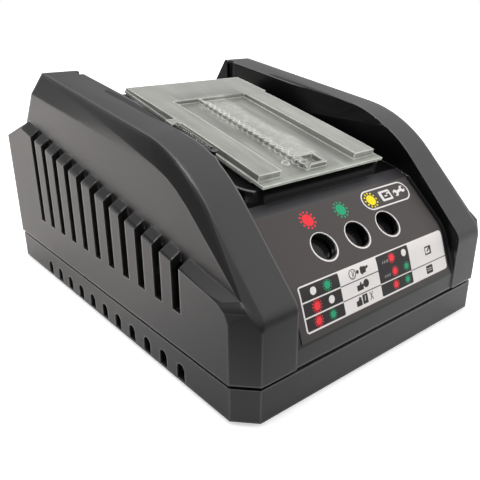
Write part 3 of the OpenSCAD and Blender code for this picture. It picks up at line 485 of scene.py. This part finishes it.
class Artwork:
    """Flat print on the film: x runs across and v up the film, both in millimetres.

    A shape is its signed distance, below 0 inside. An overlap of shapes is their larger distance and a join their
    smaller one."""

    def __init__(self, graph, x, v, ground):
        self.graph, self.x, self.v, self.colour = graph, x, v, ground

    def _solid(self, distance):
        """1 inside a shape and 0 outside, across an edge as wide as the print's blur."""
        return self.graph.node("ShaderNodeMath", {"operation": "MULTIPLY_ADD", "use_clamp": True},
                               {0: distance, 1: -1 / PRINT_BLUR, 2: 0.5})

    def disc(self, x, v, radius):
        """Distance to a disc round x, v."""
        dx, dv = self.x - x, self.v - v
        return (dx * dx + dv * dv) ** 0.5 - radius

    def ring(self, x, v, radius, width):
        """Distance to a ring whose middle line has the radius."""
        return abs(self.disc(x, v, radius)) - width / 2

    def block(self, x, v, half_x, half_v, corner=0.0):
        """Distance to a rectangle with rounded corners."""
        over_x = abs(self.x - x) - (half_x - corner)
        over_v = abs(self.v - v) - (half_v - corner)
        outside = (over_x.larger(0.0) ** 2.0 + over_v.larger(0.0) ** 2.0) ** 0.5
        return outside + over_x.larger(over_v).smaller(0.0) - corner

    def bar(self, x, v, half, width, slope):
        """Distance to a straight bar through x, v that leans by slope, in degrees."""
        c, s = math.cos(math.radians(slope)), math.sin(math.radians(slope))
        along = abs((self.x - x) * c + (self.v - v) * s) - half
        across = abs((self.v - v) * c - (self.x - x) * s) - width / 2
        return along.larger(across)

    def sun(self, x, v, size):
        """Distance to a lamp sign: a disc in a ring of twelve short rays."""
        dx, dv = self.x - x, self.v - v
        radius = (dx * dx + dv * dv) ** 0.5
        turn = self.graph.node("ShaderNodeMath", {"operation": "ARCTAN2"}, {0: dv, 1: dx})
        spoke = (0.3 - (turn * 12.0).cosine()) * (size * 0.09)
        ray = (abs(radius - size * 0.9) - size * 0.11).larger(spoke)
        return (radius - size * 0.66).smaller(ray)

    def put(self, colour, *shapes):
        """Prints the shapes, joined, in a colour."""
        mask = self._solid(shapes[0])
        for shape in shapes[1:]:
            mask = mask.larger(self._solid(shape))
        self.colour = self.graph.mix(self.colour, colour, mask)


# The film folds at a height z. Below and above it, one millimetre of z is so many millimetres of film.
FOLD_Z = 38.6
FOOT_RISE = 1.0595
FRONT_RISE = 1.4945
# Places on the film, in millimetres from the fold and the middle: the lamp signs, the windows' rings, and the
# table's border, rows, rules and dark columns.
SIGNS_V = 23.8
WINDOW_X, WINDOW_V, WINDOW_PITCH = -1.7, 12.6, 17.7
TABLE = {"left": -39.4, "right": 41.6, "top": 2.4, "bottom": -14.1}
BORDER = 0.62
ROWS = (-0.95, -6.25, -11.25)
RULES = (-3.7, -8.9)
COLUMNS = ((TABLE["left"] + BORDER, -20.3), (0.1, 19.0))


def printed_film(colours):
    """The film: a clouded satin ground, three ringed windows, three lamp signs and a table of signs.

    v is the way up the film: v = foot rise * dz below the fold and front rise * dz above it."""
    recipe = Recipe("printed_film", IOR=1.45)
    x, _, z = recipe.axes(recipe.place())
    rise = z - FOLD_Z
    v = rise * FOOT_RISE + rise.larger(0.0) * (FRONT_RISE - FOOT_RISE)
    fine = recipe.noise(1800.0, 3.0, 0.7)
    cloud = recipe.noise(30.0, 2.0)
    ground = recipe.mix(shade(colours.label, 0.93), shade(colours.label, 1.07), cloud * 0.5 + fine * 0.5)
    art = Artwork(recipe, x, v, ground)
    cell, white = ink(48, 45, 45), tuple(colours.white)
    red, green, yellow = tuple(colours.red), tuple(colours.green), tuple(colours.yellow)
    # lamp signs, and a capsule round the last with a pack and a spanner
    art.put(red, art.sun(-19.6, SIGNS_V, 3.6))
    art.put(green, art.sun(-2.2, SIGNS_V, 3.5))
    art.put(yellow, art.sun(15.4, SIGNS_V, 3.4))
    art.put(white, abs(art.block(24.6, SIGNS_V, 13.95, 4.05, 4.05)) - 0.3,
            art.block(24.6, 23.9, 3.3, 2.3, 0.6), art.bar(33.3, 24.1, 2.3, 1.2, 14.0),
            art.disc(30.9, 23.6, 1.5), art.disc(35.6, 24.6, 1.5))
    art.put(cell, art.block(24.9, 23.9, 2.1, 1.4, 0.2), art.disc(30.2, 23.3, 0.7), art.disc(36.3, 24.9, 0.7))
    art.put(white, art.bar(24.6, 23.7, 0.9, 0.6, 0.0), art.bar(26.2, 24.6, 0.8, 0.6, 0.0))
    # rings round the windows
    art.put(white, *[art.ring(WINDOW_X + WINDOW_PITCH * step, WINDOW_V, 5.55, 0.62) for step in (-1, 0, 1)])
    # table: dark and white columns in a white border
    mid_x, half_x = (TABLE["left"] + TABLE["right"]) / 2, (TABLE["right"] - TABLE["left"]) / 2
    mid_v, half_v = (TABLE["top"] + TABLE["bottom"]) / 2, (TABLE["top"] - TABLE["bottom"]) / 2
    art.put(white, art.block(mid_x, mid_v, half_x, half_v, 1.3))
    for left, right in COLUMNS:
        art.put(cell, art.block((left + right) / 2, mid_v, (right - left) / 2, half_v - BORDER, 0.5))
    art.put(white, *[art.block(-29.8, level, 9.5, 0.25) for level in RULES], art.block(9.5, RULES[1], 9.8, 0.2))
    art.put(cell, *[art.block(-10.1, level, 10.2, 0.17) for level in RULES],
            art.block(30.3, RULES[1], 11.3, 0.17))
    # lamp marks in the table
    art.put(white, art.disc(-33.0, ROWS[0], 1.4), art.disc(-25.5, ROWS[1], 1.4), art.disc(16.1, ROWS[0], 1.4))
    art.put(red, art.sun(-32.6, ROWS[1], 2.3), art.sun(-33.0, ROWS[2], 2.1),
            art.sun(8.7, ROWS[0], 2.0), art.sun(9.4, ROWS[1], 1.9), art.sun(8.7, ROWS[2], 1.8))
    art.put(green, art.sun(-26.2, ROWS[0], 2.1), art.sun(-26.1, ROWS[2], 1.8),
            art.sun(16.4, ROWS[1], 1.7), art.sun(15.8, ROWS[2], 1.7))
    # small signs: cell, plug, pack, wedge and cross
    art.put(cell, art.ring(-13.4, ROWS[0], 1.7, 0.4), art.bar(-13.4, ROWS[0], 1.1, 0.35, 90.0),
            art.bar(-12.7, ROWS[0], 0.9, 0.3, 70.0), art.disc(-10.7, ROWS[0], 0.7),
            art.block(-7.8, ROWS[0], 1.5, 1.2, 0.5), art.bar(-5.9, ROWS[0] + 0.4, 1.0, 0.9, 20.0),
            art.bar(-8.3, ROWS[0], 1.6, 0.6, 90.0),
            art.block(-10.7, ROWS[1] - 0.4, 1.7, 1.0, 0.3), art.bar(-10.4, ROWS[1] + 0.6, 0.9, 0.8, 60.0),
            art.disc(-7.4, ROWS[1] + 0.3, 1.5), art.bar(-9.0, ROWS[1], 1.2, 0.7, 20.0),
            art.block(-12.6, ROWS[2] - 0.6, 1.5, 1.0, 0.3), art.bar(-12.2, ROWS[2] + 0.4, 1.1, 1.3, 60.0),
            art.block(-9.3, ROWS[2] + 0.1, 1.4, 1.7, 0.3),
            art.bar(-5.8, ROWS[2] + 0.2, 1.7, 0.35, 62.0), art.bar(-5.8, ROWS[2] + 0.2, 1.7, 0.35, 118.0),
            art.block(31.0, -3.9, 2.0, 1.7, 0.3), art.block(30.1, -11.4, 2.1, 1.6, 0.4))
    art.put(white, art.block(30.7, -3.9, 1.3, 1.1, 0.2), art.bar(30.1, -11.0, 1.5, 0.2, 0.0),
            art.bar(30.1, -11.8, 1.5, 0.2, 0.0), art.bar(-9.3, ROWS[2] + 0.3, 0.9, 0.3, 80.0))
    art.put(cell, art.bar(31.2, -3.6, 1.1, 0.7, 40.0))
    art.put(shade(white, 0.5), *[art.bar(x_at, row - 0.5, 0.5, 0.3, 65.0)
                                 for row in ROWS[:2] for x_at in (3.4, 4.4, 5.4, 6.2)])
    recipe.feed("Base Color", art.colour)
    recipe.feed("Roughness", recipe.span(fine, 0.3, 0.8, 0.36, 0.46))
    recipe.relief(fine, 0.00002, 0.4, 0.0002)
    return recipe.material


# ---------- operators ----------


class CHARGER_OT_case(bpy.types.Operator):
    """Finishes the two halves of the case in moulded plastic"""

    bl_idname = "charger.case"
    bl_label = "Case"

    def execute(self, context):
        sizes, colours = context.scene.charger_sizes, context.scene.charger_colours
        plastic = case_plastic(tuple(colours.case), sizes.case_edge, sizes.ridge)
        finish(["top_shell", "base_shell"], plastic, angle=15.0)
        return {"FINISHED"}


class CHARGER_OT_label(bpy.types.Operator):
    """Prints the indicator film and finishes the windows behind it"""

    bl_idname = "charger.label"
    bl_label = "Label"

    def execute(self, context):
        finish(["indicator_label"], printed_film(context.scene.charger_colours))
        finish(["led_lenses"], tinted("smoked_lens", ink(18, 18, 20), ink(30, 30, 33), 300.0,
                                      IOR=1.49, Roughness=0.12))
        return {"FINISHED"}


# The frosted field's middle and half width, and the inner sides of the cover's strips, in millimetres.
FIELD_X = -0.5
FIELD_HALF = 8.5
STRIP_INNER = 17.0


def cover_plastic(colour):
    """The cover: milky translucent plastic with painted highlights on its edges, a frosted field in the middle
    and clearer, darker plastic on either side of it.
    green.

    Along runs up the dock's slope and above stands square to it, both in millimetres."""
    recipe = Recipe("translucent_cover", IOR=1.52, Transmission_Weight=0.3, Emission_Strength=1.0)
    x, y, z = recipe.axes(recipe.place())
    along = y * DOCK_COS + (z - DOCK_HEIGHT) * DOCK_SIN
    above = (z - DOCK_HEIGHT) * DOCK_COS - y * DOCK_SIN
    cloud = recipe.noise(70.0, 4.0, 0.6)
    frost = recipe.noise(300.0, 3.0, 0.7)
    flow = recipe.noise(26.0, 2.0)
    streaks = recipe.noise(1.0, 3.0, 0.55, recipe.stretched((150.0, 16.0, 60.0)))
    streaked = recipe.span(along, 2.0, 12.0, 0.4, 0.15)
    # the field has a wavy outline and ends before the strips do
    field = recipe.span(abs(x - FIELD_X + (cloud - 0.5) * 10.0), FIELD_HALF - 2.0, FIELD_HALF + 2.0, 1.0, 0.0)
    field = field * recipe.span(along, 4.0, 12.0, 1.0, 0.0) * recipe.span(along, -56.0, -50.0)
    strips = recipe.span(abs(x), STRIP_INNER, STRIP_INNER + 1.5, 0.0, 0.42)
    rear = recipe.span(along, 12.0, 20.0, 0.0, 0.4)
    milk = (field * 0.95).larger(strips).larger(rear)
    density = recipe.span(cloud * 0.25 + flow * 0.3 + milk * 0.8, 0.15, 0.9)
    tone = recipe.mix(shade(colour, 0.42), shade(colour, 0.82), density)
    tone = recipe.mix(tone, ink(104, 106, 102), recipe.span(streaks, 0.5, 0.68) * streaked)
    tone = recipe.mix(tone, shade(colour, 1.1), recipe.span(streaks, 0.46, 0.3) * streaked)
    tone = recipe.mix(tone, shade(colour, 1.2), recipe.span(frost, 0.5, 0.66) * field * 0.6)
    tone = recipe.mix(tone, ink(186, 196, 180), recipe.span(along, -64.0, -61.5, 0.6, 0.0))
    # painted highlights: the edges are painted near white, unevenly, and glow a little by emission where they
    # stand above the plate
    rims = recipe.rims(recipe.rounded(0.0009), 0.006, 0.09) * recipe.span(cloud, 0.35, 0.6, 0.35, 0.8)
    glow = rims * recipe.span(above, 0.5, 1.6)
    recipe.feed("Base Color", recipe.mix(tone, (0.95, 0.95, 0.92, 1), rims))
    recipe.feed("Emission Color", recipe.mix(BLACK, (0.3, 0.31, 0.29, 1), glow))
    recipe.feed("Roughness", recipe.span(cloud + field * 0.3, 0.3, 1.0, 0.14, 0.34))
    recipe.relief(frost * field * 0.8 + flow * 0.5 + streaks * 0.3, 0.0003, 0.35, 0.0004)
    return recipe.material


class CHARGER_OT_cover(bpy.types.Operator):
    """Finishes the sprung terminal cover in translucent plastic"""

    bl_idname = "charger.cover"
    bl_label = "Terminal cover"

    def execute(self, context):
        finish(["terminal_cover"], cover_plastic(tuple(context.scene.charger_colours.cover)))
        return {"FINISHED"}


# The spring's middle line in the dock's frame, in millimetres: across, above, and along at its two ends.
SPRING_X = -34.7
SPRING_ABOVE = 4.0
SPRING_ENDS = (-36.8, -13.2)
STEPS_PER_TURN = 24
WIRE_SIDES = 8


def spring_tube(sizes):
    """The cover spring: a round wire wound in a helix.

    The wire's middle is x = x0 + R cos t, above = a0 + R sin t, and along goes evenly from the front end to the
    back end with t. A circle of the wire's radius is carried on it."""
    part = np.linspace(0, 1, sizes.turns * STEPS_PER_TURN + 1)
    turn = part * sizes.turns * 2 * math.pi
    coil = sizes.coil / MM
    along = SPRING_ENDS[0] + (SPRING_ENDS[1] - SPRING_ENDS[0]) * part
    middle = np.stack([SPRING_X + coil * np.cos(turn), along, SPRING_ABOVE + coil * np.sin(turn)], -1)
    ahead = np.gradient(middle, axis=0)
    ahead /= np.linalg.norm(ahead, axis=1)[:, None]
    inward = np.stack([np.cos(turn), np.zeros_like(turn), np.sin(turn)], -1)
    inward -= (inward * ahead).sum(1)[:, None] * ahead
    inward /= np.linalg.norm(inward, axis=1)[:, None]
    across = np.cross(ahead, inward)
    ring = np.linspace(0, 2 * math.pi, WIRE_SIDES + 1)[:-1][None, :, None]
    circle = np.cos(ring) * inward[:, None] + np.sin(ring) * across[:, None]
    skin = middle[:, None] + sizes.wire / MM * circle
    return dock_point(skin[..., 0], skin[..., 1], skin[..., 2])


def tube_mesh(name, points):
    """A closed tube through rings of points: quads between rings, and one face at each end."""
    rings, corners = points.shape[:2]
    index = np.arange(rings * corners).reshape(rings, corners)
    ahead = np.roll(index, -1, 1)
    quads = np.stack([index[:-1], ahead[:-1], ahead[1:], index[1:]], -1).reshape(-1, 4)
    mesh = bpy.data.meshes.new(name)
    ends = [index[0].tolist(), index[-1].tolist()]
    mesh.from_pydata(points.reshape(-1, 3).tolist(), [], quads.tolist() + ends)
    work = bmesh.new()
    work.from_mesh(mesh)
    bmesh.ops.recalc_face_normals(work, faces=work.faces)
    work.to_mesh(mesh)
    work.free()
    mesh.shade_smooth()
    made = bpy.data.objects.new(name, mesh)
    bpy.context.scene.collection.objects.link(made)
    return made


class CHARGER_OT_spring(bpy.types.Operator):
    """Winds the spring that pulls the terminal cover shut"""

    bl_idname = "charger.spring"
    bl_label = "Cover spring"

    def execute(self, context):
        spring = tube_mesh("wound_spring", spring_tube(context.scene.charger_sizes))
        spring.data.materials.append(bare_metal("spring_wire", ink(190, 189, 184), 0.24))
        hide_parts("cover_spring")
        start, end = [dock_point(SPRING_X, along, SPRING_ABOVE).tolist() for along in SPRING_ENDS]
        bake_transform(spring, "base", "cover", start=start, end=end)
        return {"FINISHED"}


class CHARGER_OT_dock(bpy.types.Operator):
    """Finishes the contact block, its blades, the cover's rails and the cord clamp"""

    bl_idname = "charger.dock"
    bl_label = "Dock"

    def execute(self, context):
        paint(["terminal_block", "guide_rails", "cord_clamp"],
              moulded_plastic("inner_plastic", ink(34, 34, 36), 0.38, edge=0.0004))
        paint(["positive_blade", "negative_blade", "signal_contacts"],
              bare_metal("contact_metal", ink(214, 190, 128), 0.22))
        return {"FINISHED"}


def solder_mask():
    """The power board: green mask over tracks, which stand up a little.

    The tracks follow where |cos(0.42 x + wander) + cos(0.36 y)| is large, with x and y in millimetres."""
    recipe = Recipe("solder_mask", IOR=1.5)
    x, y, _ = recipe.axes(recipe.place())
    weave = recipe.noise(220.0, 4.0, 0.6)
    wander = recipe.noise(90.0, 1.0) * 3.0
    tracks = abs((x * 0.42 + wander).cosine() + (y * 0.36).cosine()) - 0.5
    copper = recipe.span(tracks + weave * 0.2, 0.2, 0.45)
    recipe.feed("Base Color", recipe.mix(ink(18, 84, 46), ink(30, 112, 62), copper))
    recipe.feed("Roughness", recipe.span(weave, 0.3, 0.7, 0.3, 0.42))
    recipe.relief(recipe.span(tracks, 0.2, 0.3), 0.00004, 0.5, 0.0002)
    return recipe.material


class CHARGER_OT_inside(bpy.types.Operator):
    """Finishes the circuit boards and the parts on them"""

    bl_idname = "charger.inside"
    bl_label = "Circuit"

    def execute(self, context):
        paint(["main_board"], solder_mask())
        paint(["led_board"], moulded_plastic("dark_mask", ink(14, 26, 20), 0.4, 0.00002))
        paint(["transformer_core"], moulded_plastic("ferrite", ink(58, 58, 62), 0.6, 0.00008))
        paint(["transformer_winding"],
              moulded_plastic("yellow_tape", ink(214, 176, 40), 0.34, 0.00003, cells=500.0))
        finish(["filter_capacitor"], moulded_plastic("blue_sleeve", ink(34, 48, 104), 0.3, 0.00002))
        finish(["output_capacitors"], moulded_plastic("black_sleeve", ink(30, 30, 38), 0.3, 0.00002))
        finish(["input_choke"], bare_metal("enamelled_copper", ink(176, 96, 52), 0.3, (500.0, 60.0, 500.0)))
        paint(["primary_heatsink", "secondary_heatsink"],
              bare_metal("extruded_aluminium", ink(196, 198, 202), 0.34))
        paint(["power_transistors", "control_chip", "buzzer"],
              moulded_plastic("chip_plastic", ink(34, 34, 36), 0.5))
        paint(["mains_terminal"], moulded_plastic("green_block", ink(40, 128, 82), 0.36))
        finish(["output_leads", "fan_lead"], rubber("red_lead", ink(176, 34, 28)))
        finish(["led_lead"], rubber("grey_ribbon", ink(150, 150, 150)))
        finish(["input_fuse"], tinted("fuse_glass", ink(214, 220, 222), ink(236, 240, 240), 400.0,
                                      IOR=1.5, Roughness=0.08, Transmission_Weight=0.7))
        paint(["indicator_leds"], tinted("white_diode", ink(214, 212, 200), ink(238, 236, 226), 900.0,
                                         IOR=1.5, Roughness=0.25))
        return {"FINISHED"}


class CHARGER_OT_fan(bpy.types.Operator):
    """Finishes the cooling fan behind the side slots"""

    bl_idname = "charger.fan"
    bl_label = "Fan"

    def execute(self, context):
        finish(["fan_frame", "fan_rotor"], moulded_plastic("fan_plastic", ink(44, 44, 46), 0.4, edge=0.0005))
        finish(["fan_bearing"], bare_metal("bearing_brass", ink(206, 178, 108), 0.28))
        return {"FINISHED"}


class CHARGER_OT_underside(bpy.types.Operator):
    """Finishes the feet, the screws and the cord gland"""

    bl_idname = "charger.underside"
    bl_label = "Feet, screws and gland"

    def execute(self, context):
        finish(["rubber_feet"], rubber("foot_rubber", ink(42, 42, 43)))
        finish(["cord_gland"], rubber("gland_rubber", ink(36, 36, 37)))
        finish(["case_screws", "board_screws", "led_board_screws", "terminal_screws", "clamp_screws"],
              bare_metal("zinc_plate", ink(186, 188, 192), 0.3))
        return {"FINISHED"}


# ---------- the studio ----------

# The camera's place in millimetres, its directions, its sensor's width, and its lens in the same unit.
CAMERA_AT = (-157.27, -202.99, 123.87)
CAMERA_RIGHT = (0.7724, -0.6352, -0.0038)
CAMERA_AHEAD = (0.5869, 0.7160, -0.3779)
SENSOR = 36.0
LENS = 569.44 / 480 * SENSOR
# Which way from the charger the dark card lies that only reflections see.
SHADE_SIDE = (-0.45, -0.893)
# The floor's side in metres, and the world's even level.
FLOOR_SIZE = 6.0
AMBIENT = 0.3
# Soft lamps that reflections don't see: name, place in metres and power in watts.
SOFT_LAMPS = (("top_soft", (0.2, 0.1, 0.95), 4.6), ("front_soft", (0.55, -0.7, 0.45), 4.0),
              ("back_soft", (-0.5, 0.85, 0.4), 5.0))


def floor_paper():
    """A pale ground that takes the object's shadow and turns plain white further off.

    Reflections see it a little darker, faintly warm behind, and dim on one side, as with a black card laid there:
    d = x u + y v, along the card's direction (u, v), goes from open at 30 mm to covered at 190 mm."""
    recipe = Recipe("floor_paper", Roughness=0.9, Emission_Strength=1.0)
    x, y, _ = recipe.axes(recipe.place())
    glossy = recipe.ray("Is Glossy Ray")
    card = recipe.span(x * SHADE_SIDE[0] + y * SHADE_SIDE[1], 30.0, 190.0) * glossy
    plain = recipe.mix((0.9, 0.9, 0.9, 1), (0.88, 0.88, 0.88, 1), recipe.noise(40.0))
    mirrored = recipe.mix((0.78, 0.78, 0.78, 1), (0.8, 0.76, 0.73, 1), recipe.span(y, -120.0, 60.0))
    paper = recipe.mix(plain, mirrored, glossy)
    recipe.feed("Base Color", recipe.mix(paper, (0.02, 0.02, 0.02, 1), card))
    away = recipe.span((x * x + y * y) ** 0.5, 250.0, 700.0, 0.55, 1.0)
    seen = recipe.ray("Is Camera Ray").larger(recipe.ray("Is Transmission Ray"))
    glow = (seen * away).larger(glossy * 0.16) * (1.0 - card)
    recipe.feed("Emission Color", recipe.mix(BLACK, WHITE, glow))
    return recipe.material


def studio_world():
    """Plain light from all round: white to the eye, even for matt surfaces, and for reflections a soft box that
    brightens from the even level to the right and overhead."""
    world = bpy.data.worlds.new("studio")
    world.use_nodes = True
    graph = Graph(world.node_tree)
    x, _, z = graph.axes(graph.node("ShaderNodeTexCoord", output="Generated"), 1.0)
    box = graph.span(x + z * 0.5, 0.1, 1.0, 0.02, 0.75)
    level = (graph.ray("Is Glossy Ray") * box).larger(AMBIENT)
    level = level.larger(graph.ray("Is Camera Ray")).larger(graph.ray("Is Transmission Ray"))
    colour = graph.mix(BLACK, WHITE, level)
    ground = graph.node("ShaderNodeBackground", inputs={"Color": colour, "Strength": 1.0})
    graph.node("ShaderNodeOutputWorld", inputs={"Surface": ground})
    return world


def area_light(name, place, target, size, power):
    """A rectangular soft light at a place, turned to a target; both in metres."""
    data = bpy.data.lights.new(name, "AREA")
    data.shape, data.size, data.size_y = "RECTANGLE", size[0], size[1]
    data.energy = power
    lamp = bpy.data.objects.new(name, data)
    bpy.context.scene.collection.objects.link(lamp)
    lamp.location = place
    lamp.rotation_euler = (Vector(target) - Vector(place)).to_track_quat("-Z", "Y").to_euler()
    return lamp


def main_camera():
    """The camera at its place, turned by its own right and ahead directions."""
    data = bpy.data.cameras.new("camera")
    data.sensor_fit, data.sensor_width, data.lens = "AUTO", SENSOR, LENS
    data.clip_start, data.clip_end = 0.01, 20.0
    camera = bpy.data.objects.new("camera", data)
    bpy.context.scene.collection.objects.link(camera)
    right = Vector(CAMERA_RIGHT).normalized()
    ahead = Vector(CAMERA_AHEAD)
    ahead = (ahead - right * ahead.dot(right)).normalized()
    turn = Matrix((right, right.cross(ahead), -ahead)).transposed().to_4x4()
    camera.matrix_world = Matrix.Translation(Vector(CAMERA_AT) * MM) @ turn
    return camera


class CHARGER_OT_studio(bpy.types.Operator):
    """Sets up the floor, the soft lights and the camera"""

    bl_idname = "charger.studio"
    bl_label = "Studio"

    def execute(self, context):
        scene = context.scene
        scene.view_settings.view_transform = "Standard"
        bpy.ops.mesh.primitive_plane_add(size=FLOOR_SIZE, location=(0, 0, -0.0002))
        floor = context.object
        floor.name = "floor"
        floor.data.materials.append(floor_paper())
        scene.world = studio_world()
        area_light("edge_soft", (-0.23, -0.04, 0.9), (0, 0, 0.05), (0.1, 0.34), 1.7)
        for name, place, power in SOFT_LAMPS:
            area_light(name, place, (0, 0, 0.04), (0.6, 0.6), power).visible_glossy = False
        scene.camera = main_camera()
        return {"FINISHED"}


class CHARGER_PT_panel(bpy.types.Panel):
    """Lists the charger's sizes, colours and operators."""

    bl_idname = "CHARGER_PT_panel"
    bl_label = "Tool battery charger"
    bl_space_type = "VIEW_3D"
    bl_region_type = "UI"
    bl_category = "Charger"

    def draw(self, context):
        layout = self.layout
        for group in (context.scene.charger_sizes, context.scene.charger_colours):
            for name in group.__annotations__:
                layout.prop(group, name)
        for operator in OPERATORS:
            layout.operator(operator.bl_idname)


OPERATORS = (CHARGER_OT_case, CHARGER_OT_label, CHARGER_OT_cover, CHARGER_OT_spring, CHARGER_OT_dock,
             CHARGER_OT_inside, CHARGER_OT_fan, CHARGER_OT_underside, CHARGER_OT_studio)
CLASSES = (ChargerSizes, ChargerColours, *OPERATORS, CHARGER_PT_panel)


def register():
    for item in CLASSES:
        bpy.utils.register_class(item)
    bpy.types.Scene.charger_sizes = PointerProperty(type=ChargerSizes)
    bpy.types.Scene.charger_colours = PointerProperty(type=ChargerColours)


def unregister():
    del bpy.types.Scene.charger_colours
    del bpy.types.Scene.charger_sizes
    for item in reversed(CLASSES):
        bpy.utils.unregister_class(item)


def main():
    register()
    bpy.ops.charger.case()
    bpy.ops.charger.label()
    bpy.ops.charger.cover()
    bpy.ops.charger.spring()
    bpy.ops.charger.dock()
    bpy.ops.charger.inside()
    bpy.ops.charger.fan()
    bpy.ops.charger.underside()
    bpy.ops.charger.studio()


if __name__ == "__main__":
    main()
